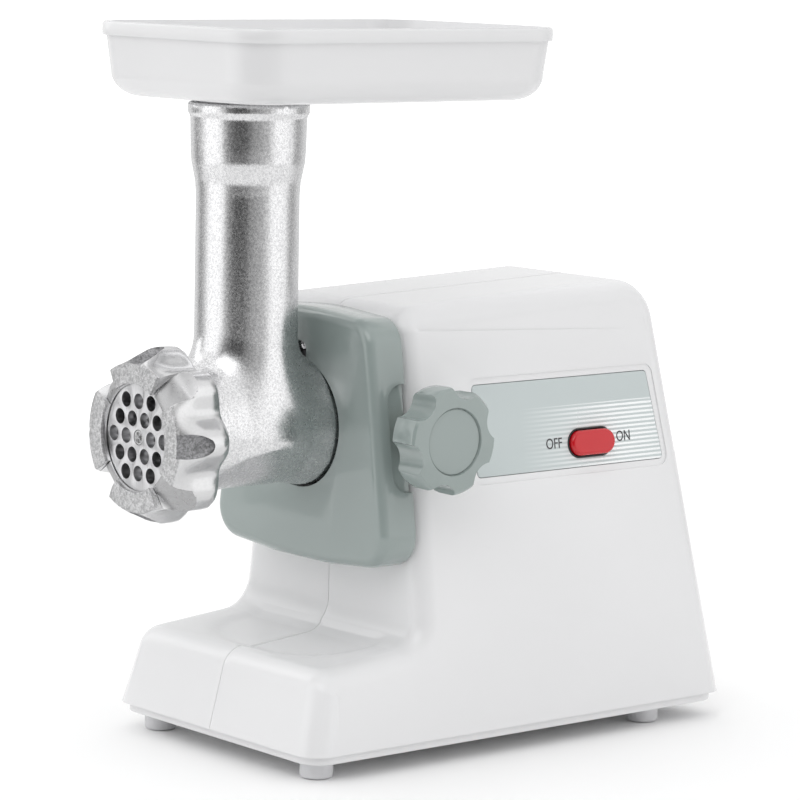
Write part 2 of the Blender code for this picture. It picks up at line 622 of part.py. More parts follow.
def motor():
    here = (0, 0, MOTOR_Z)
    cylinder("motor_shaft", 0.0030, 0.1010, (0, 0.1445, MOTOR_Z), FORWARD, "steel", 16)
    ring("front_bearing", 0.0090, 0.0033, 0.1000, 0.1045, here, BACKWARD, "steel", 24)
    fan = ring("motor_fan", 0.0080, 0.0033, 0.1072, 0.1130, here, BACKWARD, "black_plastic", 24)
    for k in range(7):
        turn = BACKWARD @ Matrix.Rotation(2 * math.pi * k / 7, 4, "Z")
        middle = Vector(here) + turn @ Vector((0.0175, 0, 0.1101))
        cut(fan, box(f"fan_blade_{k}", (0.0210, 0.0014, 0.0052), middle, turn=turn), "UNION")
    ring("armature_core", 0.0185, 0.0033, 0.1260, 0.1580, here, BACKWARD, "steel", 32)
    ring("front_winding", 0.0150, 0.0033, 0.1180, 0.1257, here, BACKWARD, "copper", 24)
    ring("rear_winding", 0.0150, 0.0033, 0.1583, 0.1660, here, BACKWARD, "copper", 24)
    ring("commutator", 0.0100, 0.0033, 0.1670, 0.1800, here, BACKWARD, "copper", 24)
    stator = box("stator_core", (0.066, 0.034, 0.066), (0, 0.142, MOTOR_Z), "steel", 0.008)
    cut(stator, cylinder("stator_window", 0.0295, 0.05, (0, 0.142, MOTOR_Z), FORWARD, sides=32))
    for sign, hand in ((1, "upper"), (-1, "lower")):
        pole = box(f"{hand}_pole", (0.018, 0.0338, 0.016), (0, 0.142, MOTOR_Z + sign * 0.0232))
        cut(pole, cylinder(f"{hand}_pole_face", 0.0191, 0.05, (0, 0.142, MOTOR_Z), FORWARD))
        cut(stator, pole, "UNION")
        field_coil(f"{hand}_field_coil", sign)
    for sign, hand in ((1, "right"), (-1, "left")):
        box(f"{hand}_brush", (0.010, 0.006, 0.006), (sign * 0.0155, 0.1735, MOTOR_Z),
                    "black_plastic")
    bracket = box("motor_bracket", (0.066, 0.0060, 0.026), (0, 0.1880, MOTOR_Z), "black_plastic", 0.002)
    for sign in (1, -1):
        leg = box(f"bracket_leg_{sign}", (0.006, 0.0280, 0.020), (sign * 0.0280, 0.1735, MOTOR_Z))
        cut(bracket, leg, "UNION")
        inner = box(f"brush_arm_{sign}", (0.012, 0.0100, 0.0100), (sign * 0.0220, 0.1735, MOTOR_Z))
        cut(bracket, inner, "UNION")
        slot = box(f"brush_slot_{sign}", (0.0170, 0.0066, 0.0066), (sign * 0.0150, 0.1735, MOTOR_Z))
        cut(bracket, slot)
    cut(bracket, cylinder("bearing_seat", 0.0083, 0.02, (0, 0.188, MOTOR_Z), FORWARD, sides=24))
    ring("rear_bearing", 0.0080, 0.0033, 0.1860, 0.1905, here, BACKWARD, "steel", 24)


def field_coil(name, sign):
    """A race-track winding round one stator pole."""
    half_x, half_y, corner = 0.0122, 0.0200, 0.004
    corners = [(-half_x, -half_y, corner), (half_x, -half_y, corner), (half_x, half_y, corner),
               (-half_x, half_y, corner)]
    path = bpy.data.curves.new(name, "CURVE")
    path.dimensions = "3D"
    path.bevel_depth = 0.0024
    path.bevel_resolution = 1
    route = path.splines.new("POLY")
    points = rounded(corners, 3)
    route.points.add(len(points) - 1)
    for point, here in zip(route.points, points):
        point.co = (here.x, here.y, 0, 1)
    route.use_cyclic_u = True
    coil = bpy.data.objects.new(name, path)
    PARTS.objects.link(coil)
    path.materials.append(material("copper"))
    coil.location = (0, 0.142, MOTOR_Z + sign * 0.0218)


def cord_gland():
    profile = [(0.0090, 0.2385), (0.0090, 0.2366), (0.0058, 0.2366), (0.0058, 0.2290),
               (0.0036, 0.2290), (0.0036, 0.2385)]
    turned("cord_gland", profile, (0, 0, 0.034), BACKWARD, "rubber", 20)


def move_origin_to_base():
    """Puts the world origin under the middle of the assembled object."""
    bpy.context.view_layer.update()
    graph = bpy.context.evaluated_depsgraph_get()
    corners = []
    for obj in PARTS.objects:
        mesh = obj.evaluated_get(graph).to_mesh()
        corners += [obj.matrix_world @ v.co for v in mesh.vertices]
    low = [min(c[i] for c in corners) for i in range(3)]
    high = [max(c[i] for c in corners) for i in range(3)]
    shift = Vector((-(low[0] + high[0]) / 2, -(low[1] + high[1]) / 2, -low[2]))
    for obj in list(PARTS.objects) + list(CUTTERS.objects):
        obj.matrix_world = Matrix.Translation(shift) @ obj.matrix_world
    print("shift", [round(value * 1000, 3) for value in shift])
    print("size", [round((b - a) * 1000, 3) for a, b in zip(low, high)])


clear_scene()
PARTS = collection("meat_grinder")
CUTTERS = collection("cutters")
left_housing()
right_housing()
base()
control_panel()
switch()
faceplate()
head_socket()
grinder_head()
auger()
cutting_blade()
grinding_plate()
ring_nut()
hopper_tray()
clamp_knob()
drive_train()
gearbox()
motor()
cord_gland()
move_origin_to_base()
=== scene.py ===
"""Looks of the electric meat grinder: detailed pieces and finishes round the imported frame."""

import json
import logging
import math
from collections.abc import Callable, Iterable, Sequence
from dataclasses import dataclass
from enum import Enum

import bmesh
import bpy
import numpy as np
from mathutils import Matrix, Vector

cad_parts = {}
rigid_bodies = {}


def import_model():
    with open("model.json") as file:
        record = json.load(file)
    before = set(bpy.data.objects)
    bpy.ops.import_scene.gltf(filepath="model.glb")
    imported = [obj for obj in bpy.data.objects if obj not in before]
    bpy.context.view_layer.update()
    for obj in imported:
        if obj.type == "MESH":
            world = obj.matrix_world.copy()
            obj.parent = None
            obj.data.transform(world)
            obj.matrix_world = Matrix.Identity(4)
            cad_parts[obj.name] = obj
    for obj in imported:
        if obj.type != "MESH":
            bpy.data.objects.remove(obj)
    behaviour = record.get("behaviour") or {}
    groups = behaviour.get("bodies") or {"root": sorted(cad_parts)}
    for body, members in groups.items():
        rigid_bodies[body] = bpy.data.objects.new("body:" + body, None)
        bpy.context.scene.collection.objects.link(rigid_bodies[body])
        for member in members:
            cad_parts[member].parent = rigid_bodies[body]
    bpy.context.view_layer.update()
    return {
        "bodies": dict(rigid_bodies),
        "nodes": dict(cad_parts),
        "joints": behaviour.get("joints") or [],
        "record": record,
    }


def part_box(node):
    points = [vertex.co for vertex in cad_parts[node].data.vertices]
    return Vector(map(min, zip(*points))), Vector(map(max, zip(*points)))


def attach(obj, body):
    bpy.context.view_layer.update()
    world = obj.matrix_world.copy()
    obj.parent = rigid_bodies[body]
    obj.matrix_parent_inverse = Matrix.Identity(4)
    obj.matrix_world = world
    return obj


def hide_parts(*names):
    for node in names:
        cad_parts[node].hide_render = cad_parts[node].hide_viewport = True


LOG = logging.getLogger("meat_grinder")
Point2 = tuple[float, float]
Ring = list[tuple[float, float, float]]
Value = float | Sequence[float] | bpy.types.NodeSocket
QUARTER_TURN = math.pi / 2
FULL_TURN = 2 * math.pi


class Axis(Enum):
    """Which way a turned or lofted piece's own +Z points."""

    UP = Matrix.Identity(4)
    FORWARD = Matrix.Rotation(math.radians(90), 4, "X")
    BACKWARD = Matrix.Rotation(math.radians(-90), 4, "X")
    SIDEWAYS = Matrix.Rotation(math.radians(90), 4, "Y")


# ------------------------------------------------------------------ frame
BARREL_REACH = 0.054
KNOB_Y = 0.052
ROCKER_Y, ROCKER_Z = 0.1608, 0.1381


@dataclass(frozen=True)
class Datum:
    """Reference lines of the machine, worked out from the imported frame."""

    auger_x: float
    chute_y: float
    auger_z: float

    @classmethod
    def from_frame(cls) -> "Datum":
        """Reads the auger and chute axes from the head and the plate.

        Returns:
            The datum in metres.
        """
        low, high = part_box("grinding_plate")
        head_low, head_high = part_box("grinder_head")
        return cls((low[0] + high[0]) / 2, head_low[1] + BARREL_REACH, (low[2] + high[2]) / 2)

    def place(self, x: float, y: float, z: float) -> Vector:
        """Point given from the auger plane, the chute axis and the worktop."""
        return Vector((x + self.auger_x, y + self.chute_y, z))


SIDE_X, SIDE_Z, SIDE_DRAFT = 0.053, 0.173, 0.1427
SIDE_TILT = Matrix.Rotation(-math.atan(SIDE_DRAFT), 4, "Y")


def side_x(z: float) -> float:
    """Half width of the drafted housing at a height."""
    return SIDE_X + (SIDE_Z - z) * SIDE_DRAFT


# ------------------------------------------------------------------ finishes
def feed(tree: bpy.types.NodeTree, socket: bpy.types.NodeSocket, value: Value) -> None:
    """Links an output to a socket, or sets the socket's value.

    Args:
        tree: the tree that both sockets are in.
        socket: the input.
        value: an output socket, or a plain value.
    """
    if isinstance(value, bpy.types.NodeSocket):
        tree.links.new(value, socket)
    else:
        socket.default_value = value


def math_output(tree: bpy.types.NodeTree, kind: str, *values: Value) -> bpy.types.NodeSocket:
    """Adds a Math node.

    Args:
        tree: the tree that it goes in.
        kind: the operation's name.
        *values: an output socket or a number for each input in order.

    Returns:
        The node's output.
    """
    node = tree.nodes.new("ShaderNodeMath")
    node.operation = kind
    for socket, value in zip(node.inputs, values):
        feed(tree, socket, value)
    return node.outputs[0]


def mix_output(tree: bpy.types.NodeTree, factor: Value, first: Value,
               second: Value) -> bpy.types.NodeSocket:
    """Adds a Mix node for colours.

    Args:
        tree: the tree that it goes in.
        factor: the mix, 0 for the first colour and 1 for the second.
        first: one colour.
        second: the other.

    Returns:
        The node's output.
    """
    node = tree.nodes.new("ShaderNodeMix")
    node.data_type = "RGBA"
    feed(tree, node.inputs["Factor"], factor)
    feed(tree, node.inputs["A"], first)
    feed(tree, node.inputs["B"], second)
    return node.outputs["Result"]


class NodeTree:
    """Small helper that adds and links shader nodes."""

    def __init__(self, name: str) -> None:
        """Starts an empty material with a Principled shader.

        Args:
            name: the material's name.
        """
        self.material = bpy.data.materials.new(name)
        self.material.use_nodes = True
        self.tree = self.material.node_tree
        self.shader = self.tree.nodes["Principled BSDF"]
        self.coords = self.tree.nodes.new("ShaderNodeTexCoord").outputs["Object"]

    def add(self, kind: str, inputs: dict[str, Value] | None = None,
            **settings: str) -> bpy.types.Node:
        """Adds a node, sets its properties, and sets or links its inputs.

        Args:
            kind: the node's type name.
            inputs: input name to a value or to an output socket.
            **settings: the node's own properties.

        Returns:
            The new node.
        """
        node = self.tree.nodes.new(kind)
        for key, value in settings.items():
            setattr(node, key, value)
        for key, value in (inputs or {}).items():
            self.feed(node.inputs[key], value)
        return node

    def feed(self, socket: bpy.types.NodeSocket, value: Value) -> None:
        """Links or sets a socket in this tree."""
        feed(self.tree, socket, value)

    def math(self, kind: str, *values: Value) -> bpy.types.NodeSocket:
        """Output of a Math node in this tree."""
        return math_output(self.tree, kind, *values)

    def stretched(self, scale: Sequence[float]) -> bpy.types.NodeSocket:
        """Object coordinates scaled by axis.

        Args:
            scale: factors along X, Y and Z.

        Returns:
            The vector output.
        """
        node = self.add("ShaderNodeMapping", {"Vector": self.coords, "Scale": tuple(scale)})
        return node.outputs["Vector"]

    def noise(self, scale: float, detail: float = 3.0,
              vector: bpy.types.NodeSocket | None = None) -> bpy.types.NodeSocket:
        """Adds a noise pattern.

        Args:
            scale: cycles per metre.
            detail: how many finer layers.
            vector: coordinates other than the object's own.

        Returns:
            The noise value.
        """
        source = self.coords if vector is None else vector
        node = self.add("ShaderNodeTexNoise", {"Vector": source, "Scale": scale, "Detail": detail})
        return node.outputs["Fac"]

    def ramp(self, value: Value, low: float, high: float, start: float = 0.2,
             end: float = 0.8) -> bpy.types.NodeSocket:
        """Maps a value from one range to another.

        Args:
            value: the value.
            low: the result at start.
            high: the result at end.
            start: the lowest value that counts.
            end: the highest value that counts.

        Returns:
            The mapped value.
        """
        node = self.add("ShaderNodeMapRange", {
            "Value": value, "From Min": start, "From Max": end, "To Min": low, "To Max": high})
        return node.outputs["Result"]

    def tint(self, value: Value, dark: Sequence[float], light: Sequence[float]) -> None:
        """Feeds base colour with a mix of two colours.

        Args:
            value: the mix, 0 for dark and 1 for light.
            dark: one colour.
            light: the other.
        """
        mixed = mix_output(self.tree, value, (*dark, 1.0), (*light, 1.0))
        self.feed(self.shader.inputs["Base Color"], mixed)

    def bump(self, height: Value, distance: float, strength: float) -> None:
        """Adds a bump to the shader.

        Args:
            height: the pattern.
            distance: metres that a height of 1 stands for.
            strength: how much of the bump shows, from 0 to 1.
        """
        node = self.add("ShaderNodeBump", {
            "Height": height, "Distance": distance, "Strength": strength})
        self.feed(self.shader.inputs["Normal"], node.outputs["Normal"])


def shade(colour: Sequence[float], factor: float) -> tuple[float, ...]:
    """A colour made darker or lighter by a factor."""
    return tuple(min(1.0, part * factor) for part in colour)


@dataclass(frozen=True)
class Plastic:
    """Moulded plastic with faint flow marks and a fine skin."""

    name: str
    colour: tuple[float, float, float]
    roughness: float = 0.22
    variation: float = 0.03
    grain: float = 900.0
    grain_height: float = 0.00002
    coat: float = 0.1

    def build(self) -> bpy.types.Material:
        """Makes the material.

        Returns:
            The finished material.
        """
        tree = NodeTree(self.name)
        cloud = tree.noise(14.0, 2.0)
        tree.tint(tree.ramp(cloud, 0.0, 1.0), shade(self.colour, 1 - self.variation), self.colour)
        smear = tree.ramp(tree.noise(25.0, 2.0), self.roughness * 0.94, self.roughness * 1.08)
        tree.feed(tree.shader.inputs["Roughness"], smear)
        tree.shader.inputs["Coat Weight"].default_value = self.coat
        tree.shader.inputs["Coat Roughness"].default_value = 0.08
        tree.bump(tree.noise(self.grain, 2.0), self.grain_height, 0.25)
        return tree.material


@dataclass(frozen=True)
class CastMetal:
    """Tumbled aluminium casting: bright, with a pitted sandy grain."""

    name: str
    light: tuple[float, float, float] = (0.82, 0.82, 0.825)
    dark: tuple[float, float, float] = (0.54, 0.54, 0.55)
    roughness: float = 0.24
    grain: float = 2400.0
    depth: float = 0.000035
    rough_front: float | None = None

    def build(self) -> bpy.types.Material:
        """Makes the material, with a rough as-cast band in front of rough_front if given.

        Returns:
            The finished material.
        """
        tree = NodeTree(self.name)
        tree.shader.inputs["Metallic"].default_value = 1.0
        fine = tree.noise(self.grain, 3.0)
        coarse = tree.noise(self.grain / 2.5, 4.0)
        bright = tree.ramp(tree.math("MULTIPLY", fine, coarse), 0.0, 1.0, 0.15, 0.34)
        rough = tree.ramp(coarse, self.roughness * 0.85, self.roughness * 1.25)
        if self.rough_front is not None:
            split = tree.add("ShaderNodeSeparateXYZ", {"Vector": tree.coords}).outputs["Y"]
            band = tree.ramp(split, 0.28, 0.0, self.rough_front - 0.0004, self.rough_front + 0.0004)
            rough = tree.math("ADD", rough, band)
            dull = tree.ramp(bright, 1.0, 0.0, 0.0, 1.0)
            pits = tree.math("MULTIPLY", dull, tree.ramp(band, 0.12, 1.0, 0.0, 0.28))
            bright = tree.ramp(pits, 1.0, 0.0, 0.0, 1.0)
        tree.tint(bright, self.dark, self.light)
        tree.feed(tree.shader.inputs["Roughness"], rough)
        tree.bump(fine, self.depth, 0.35)
        return tree.material


@dataclass(frozen=True)
class BrushedMetal:
    """Ground or turned metal with fine directional lines."""

    name: str
    colour: tuple[float, float, float]
    roughness: float = 0.28
    stretch: tuple[float, float, float] = (60.0, 1500.0, 60.0)

    def build(self) -> bpy.types.Material:
        """Makes the material.

        Returns:
            The finished material.
        """
        tree = NodeTree(self.name)
        tree.shader.inputs["Metallic"].default_value = 1.0
        lines = tree.noise(1.0, 4.0, tree.stretched(self.stretch))
        tree.tint(tree.ramp(lines, 0.0, 1.0), shade(self.colour, 0.82), self.colour)
        rough = tree.ramp(lines, self.roughness * 0.75, self.roughness * 1.3)
        tree.feed(tree.shader.inputs["Roughness"], rough)
        tree.bump(lines, 0.00003, 0.3)
        return tree.material


@dataclass(frozen=True)
class StripedPanel:
    """Printed label panel: silver pinstripes that fade out towards the front."""

    name: str
    base: tuple[float, float, float]
    stripe: tuple[float, float, float]
    pitch: float
    top: float
    fade: tuple[float, float]

    def build(self) -> bpy.types.Material:
        """Makes the material.

        Returns:
            The finished material.
        """
        tree = NodeTree(self.name)
        parts = tree.add("ShaderNodeSeparateXYZ", {"Vector": tree.coords})
        turns = tree.math("MULTIPLY", parts.outputs["Z"], FULL_TURN / self.pitch)
        lines = tree.ramp(tree.math("SINE", turns), 0.0, 1.0, -0.35, 0.35)
        along = tree.ramp(parts.outputs["Y"], 0.0, 1.0, self.fade[0], self.fade[1])
        below = tree.ramp(parts.outputs["Z"], 1.0, 0.0, self.top - 0.0002, self.top + 0.0002)
        mask = tree.math("MULTIPLY", tree.math("MULTIPLY", lines, along), below)
        tree.tint(mask, self.base, self.stripe)
        tree.feed(tree.shader.inputs["Roughness"], tree.ramp(mask, 0.38, 0.22, 0.0, 1.0))
        tree.feed(tree.shader.inputs["Metallic"], tree.ramp(mask, 0.0, 0.35, 0.0, 1.0))
        tree.bump(tree.noise(1200.0, 2.0), 0.00002, 0.2)
        return tree.material


class Finishes:
    """Every finish of the machine, each made once."""

    def __init__(self, datum: Datum) -> None:
        """Builds the materials.

        Args:
            datum: the machine's reference lines.
        """
        self.datum = datum
        back = datum.chute_y
        sorts = [
            Plastic("white_shell", (0.80, 0.80, 0.808), 0.24),
            Plastic("grey_green_gloss", (0.295, 0.345, 0.333), 0.1, 0.04, coat=0.5),
            Plastic("red_rocker", (0.60, 0.006, 0.014), 0.2, 0.08, coat=0.2),
            Plastic("black_moulding", (0.018, 0.018, 0.02), 0.45, 0.2, coat=0.0),
            Plastic("natural_nylon", (0.74, 0.72, 0.64), 0.4, 0.06, coat=0.0),
            Plastic("soft_rubber", (0.72, 0.72, 0.735), 0.6, 0.05, grain_height=0.00005, coat=0.0),
            Plastic("print_ink", (0.05, 0.045, 0.05), 0.5, 0.1, coat=0.0),
            CastMetal("tumbled_casting"),
            # Finish of the nut's pockets: rough as-cast grain, with a dark colour that is painted shade for
            # the hollows
            CastMetal("sand_casting_painted_shade", (0.40, 0.40, 0.41), (0.18, 0.18, 0.185), 0.5, 1600.0, 0.00012),
            BrushedMetal("milled_flat", (0.44, 0.44, 0.445), 0.3, (900.0, 90.0, 900.0)),
            CastMetal("nut_casting", roughness=0.2, grain=1800.0, depth=0.00002,
                      light=(0.66, 0.66, 0.665), dark=(0.34, 0.34, 0.345), rough_front=back - 0.0612),
            BrushedMetal("ground_steel", (0.70, 0.70, 0.71), 0.3, (900.0, 60.0, 60.0)),
            BrushedMetal("bright_steel", (0.72, 0.72, 0.73), 0.2, (300.0, 300.0, 300.0)),
            BrushedMetal("copper_winding", (0.72, 0.33, 0.14), 0.35, (200.0, 2500.0, 200.0)),
            BrushedMetal("turned_brass", (0.72, 0.54, 0.24), 0.3, (60.0, 1800.0, 60.0)),
            StripedPanel("panel_print", (0.545, 0.60, 0.60), (0.86, 0.88, 0.885), 0.00205,
                         0.1562, (back + 0.118, back + 0.172)),
        ]
        self.made = {sort.name: sort.build() for sort in sorts}

    def __getitem__(self, name: str) -> bpy.types.Material:
        """The material of that name."""
        return self.made[name]


# ------------------------------------------------------------------ mesh tools
def rounded(corners: Sequence[tuple[float, float, float]], steps: int = 12) -> list[Vector]:
    """Points of a closed outline with arcs at its corners.

    Args:
        corners: (u, v, radius) of each corner in order.
        steps: segments in each arc.

    Returns:
        The outline's points.
    """
    points: list[Vector] = []
    count = len(corners)
    for i, (u, v, radius) in enumerate(corners):
        here = Vector((u, v))
        if radius == 0:
            points.append(here)
            continue
        before = (Vector(corners[i - 1][:2]) - here).normalized()
        after = (Vector(corners[(i + 1) % count][:2]) - here).normalized()
        half = before.angle(after) / 2
        centre = here + (before + after).normalized() * radius / math.sin(half)
        first = here + before * radius / math.tan(half) - centre
        last = here + after * radius / math.tan(half) - centre
        sweep = -first.angle_signed(last)
        for k in range(steps + 1):
            cos, sin = math.cos(sweep * k / steps), math.sin(sweep * k / steps)
            arm = Vector((first.x * cos - first.y * sin, first.x * sin + first.y * cos))
            points.append(centre + arm)
    return points


def inset(points: Sequence[Vector], distance: float) -> list[Vector]:
    """Moves a closed counter-clockwise outline inwards.

    Args:
        points: the outline.
        distance: how far it moves.

    Returns:
        The moved outline.
    """
    moved = []
    for i, here in enumerate(points):
        before = (here - points[i - 1]).normalized()
        after = (points[(i + 1) % len(points)] - here).normalized()
        normal = Vector((-before.y - after.y, before.x + after.x)).normalized()
        lean = max(normal.dot(Vector((-before.y, before.x))), 0.5)
        moved.append(here + normal * distance / lean)
    return moved


def mesh_object(name: str, bm: bmesh.types.BMesh, place: Matrix) -> bpy.types.Object:
    """Turns a bmesh into an object whose place is in its mesh.

    Args:
        name: the object's name.
        bm: the mesh, freed here.
        place: transform into the machine's frame.

    Returns:
        The linked object.
    """
    bmesh.ops.remove_doubles(bm, verts=bm.verts, dist=1e-7)
    bmesh.ops.recalc_face_normals(bm, faces=bm.faces)
    bmesh.ops.transform(bm, matrix=place, verts=bm.verts)
    mesh = bpy.data.meshes.new(name)
    bm.to_mesh(mesh)
    bm.free()
    obj = bpy.data.objects.new(name, mesh)
    bpy.context.scene.collection.objects.link(obj)
    return obj


def loft(name: str, rings: Sequence[Ring], place: Matrix) -> bpy.types.Object:
    """Skins rings with equal point counts and caps both ends.

    Args:
        name: the object's name.
        rings: the rings in order.
        place: transform into the machine's frame.

    Returns:
        The solid.
    """
    bm = bmesh.new()
    rows = [[bm.verts.new(point) for point in ring] for ring in rings]
    count = len(rows[0])
    for low, high in zip(rows, rows[1:]):
        for i in range(count):
            j = (i + 1) % count
            bm.faces.new((low[i], low[j], high[j], high[i]))
    bm.faces.new(rows[0])
    bm.faces.new(rows[-1])
    return mesh_object(name, bm, place)


def side_slab(name: str, corners: Sequence[tuple[float, float, float]], low: float, high: float,
              place: Matrix) -> bpy.types.Object:
    """A slab that lies along the drafted side face.

    Args:
        name: the object's name.
        corners: (y, z, radius) of each corner.
        low: the inner face's distance from the side face.
        high: the outer face's distance.
        place: transform into the machine's frame.

    Returns:
        The slab.
    """
    flat = rounded(corners, 8)
    rings = [[(side_x(p.y) + depth, p.x, p.y) for p in flat] for depth in (low, high)]
    return loft(name, rings, place)


def lathe(name: str, profile: Sequence[Point2], place: Matrix, steps: int = 96) -> bpy.types.Object:
    """Spins a closed profile round its own Z.

    Args:
        name: the object's name.
        profile: (radius, height) points in order.
        place: transform into the machine's frame.
        steps: segments round the axis.

    Returns:
        The solid.
    """
    bm = bmesh.new()
    points = [bm.verts.new((radius, 0.0, height)) for radius, height in profile]
    pairs = list(zip(points, points[1:]))
    if profile[0][0] > 0 or profile[-1][0] > 0:
        pairs.append((points[-1], points[0]))
    edges = [bm.edges.new(pair) for pair in pairs]
    bmesh.ops.spin(bm, geom=points + edges, cent=(0, 0, 0), axis=(0, 0, 1), angle=FULL_TURN,
                   steps=steps, use_merge=True)
    bmesh.ops.remove_doubles(bm, verts=bm.verts, dist=1e-6)
    return mesh_object(name, bm, place)


def block(name: str, size: Sequence[float], place: Matrix, bevel: float = 0.0) -> bpy.types.Object:
    """Makes a box, used as a tool or a small piece.

    Args:
        name: the object's name.
        size: its sizes along X, Y and Z.
        place: transform into the machine's frame.
        bevel: width of its rounded edges, or 0.

    Returns:
        The box.
    """
    bm = bmesh.new()
    bmesh.ops.create_cube(bm, size=1.0)
    bmesh.ops.scale(bm, vec=Vector(size), verts=bm.verts)
    if bevel:
        bmesh.ops.bevel(bm, geom=bm.edges, offset=bevel, segments=5, affect="EDGES", profile=0.5)
    return mesh_object(name, bm, place)


def plug(name: str, radius: float, place: Matrix, steps: int = 96) -> bpy.types.Object:
    """A short round bar that drills a hole through a wall.

    Args:
        name: the object's name.
        radius: the hole's radius.
        place: transform that puts the bar's middle in the wall.
        steps: sides of the hole.

    Returns:
        The tool.
    """
    reach = 0.01
    return lathe(name, [(0, reach), (radius, reach), (radius, -reach), (0, -reach)], place, steps)


def stud_notch(datum: Datum) -> bpy.types.Object:
    """The square tool that leaves room for the clamp stud."""
    return block("stud_notch", (0.044, 0.0104, 0.0104),
                 Matrix.Translation(datum.place(0.052, KNOB_Y, datum.auger_z)))


def at(place: Vector, axis: Axis = Axis.UP, spin: float = 0.0) -> Matrix:
    """Transform that puts a piece's own Z along an axis at a place."""
    return Matrix.Translation(place) @ axis.value @ Matrix.Rotation(spin, 4, "Z")


def bake(obj: bpy.types.Object) -> bpy.types.Object:
    """Applies the object's modifiers.

    Args:
        obj: the object.

    Returns:
        The same object.
    """
    graph = bpy.context.evaluated_depsgraph_get()
    mesh = bpy.data.meshes.new_from_object(obj.evaluated_get(graph))
    obj.modifiers.clear()
    obj.data = mesh
    return obj


def combine(target: bpy.types.Object, tools: Iterable[bpy.types.Object],
            operation: str = "DIFFERENCE") -> bpy.types.Object:
    """Cuts or joins tools into the target and removes them.

    Args:
        target: the object that is changed.
        tools: the objects that cut it or join it.
        operation: a Boolean operation's name.

    Returns:
        The target, with its modifiers applied.
    """
    tools = list(tools)
    for tool in tools:
        step = target.modifiers.new(tool.name, "BOOLEAN")
        step.operation = operation
        step.object = tool
    bake(target)
    for tool in tools:
        bpy.data.objects.remove(tool, do_unlink=True)
    return target


def finish(obj: bpy.types.Object, material: bpy.types.Material, body: str,
           nodes: Sequence[str] = (), edge: float = 0.0, angle: float = 32.0) -> bpy.types.Object:
    """Rounds edges, shades and dresses a piece, puts it on its body and hides the CAD nodes it stands for.

    Args:
        obj: the piece.
        material: its finish.
        body: the body it rides on.
        nodes: CAD nodes that it stands for.
        edge: width of the rounded edges, or 0.
        angle: edges sharper than this, in degrees, are rounded or stay crisp.

    Returns:
        The piece.
    """
    if edge:
        rim = obj.modifiers.new("Edge", "BEVEL")
        rim.width = edge
        rim.segments = 3
        rim.limit_method = "ANGLE"
        rim.angle_limit = math.radians(angle)
        rim.harden_normals = False
        bake(obj)
    obj.data.materials.clear()
    obj.data.materials.append(material)
    obj.data.shade_smooth()
    obj.data.set_sharp_from_angle(angle=math.radians(angle))
    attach(obj, body)
    if nodes:
        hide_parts(*nodes)
    LOG.info("%s: %d faces", obj.name, len(obj.data.polygons))
    return obj


def run_nodes(obj: bpy.types.Object, tree: bpy.types.NodeTree, values: dict[str, object]) -> None:
    """Runs a Geometry Nodes tree on an object and keeps the result as its plain mesh.

    Args:
        obj: the object whose mesh goes in and is replaced.
        tree: the node group.
        values: input name to value.
    """
    step = obj.modifiers.new("Nodes", "NODES")
    step.node_group = tree
    for item in tree.interface.items_tree:
        if item.item_type == "SOCKET" and item.in_out == "INPUT" and item.name in values:
            step[item.identifier] = values[item.name]
    bake(obj)


class Repeater:
    """Geometry Nodes that lay out copies of a piece along a line, round its own Z, or both."""

    def __init__(self, looks: Finishes) -> None:
        """Builds the node group.

        Args:
            looks: the finishes.
        """
        self.finish = looks["white_shell"]
        self.tree = bpy.data.node_groups.new("repeated", "GeometryNodeTree")
        for name, kind in (("Geometry", "Geometry"), ("Count", "Int"), ("Step", "Vector"),
                           ("Turn", "Float"), ("Finish", "Material")):
            self.tree.interface.new_socket(name, in_out="INPUT", socket_type="NodeSocket" + kind)
        self.tree.interface.new_socket("Geometry", in_out="OUTPUT", socket_type="NodeSocketGeometry")
        nodes, links = self.tree.nodes, self.tree.links
        start, end = nodes.new("NodeGroupInput"), nodes.new("NodeGroupOutput")
        line = nodes.new("GeometryNodeMeshLine")
        links.new(start.outputs["Count"], line.inputs["Count"])
        links.new(start.outputs["Step"], line.inputs["Offset"])
        index = nodes.new("GeometryNodeInputIndex")
        angle = math_output(self.tree, "MULTIPLY", index.outputs[0], start.outputs["Turn"])
        spin = nodes.new("ShaderNodeCombineXYZ")
        links.new(angle, spin.inputs["Z"])
        copies = nodes.new("GeometryNodeInstanceOnPoints")
        links.new(line.outputs["Mesh"], copies.inputs["Points"])
        links.new(start.outputs["Geometry"], copies.inputs["Instance"])
        links.new(spin.outputs[0], copies.inputs["Rotation"])
        solid = nodes.new("GeometryNodeRealizeInstances")
        links.new(copies.outputs[0], solid.inputs[0])
        dress = nodes.new("GeometryNodeSetMaterial")
        links.new(solid.outputs[0], dress.inputs["Geometry"])
        links.new(start.outputs["Finish"], dress.inputs["Material"])
        links.new(dress.outputs[0], end.inputs[0])

    def lay_out(self, piece: bpy.types.Object, place: Matrix, count: int,
                step: Sequence[float] = (0, 0, 0), turn: float = 0.0) -> bpy.types.Object:
        """Repeats a piece made at the origin and puts the row in its place.

        Args:
            piece: the piece, whose mesh is replaced by the row's.
            place: the row's transform.
            count: how many copies.
            step: offset from one copy to the next.
            turn: turn round the row's own Z from one copy to the next.

        Returns:
            The piece.
        """
        values = {"Count": count, "Step": tuple(step), "Turn": turn, "Finish": self.finish}
        run_nodes(piece, self.tree, values)
        piece.data.transform(place)
        return piece


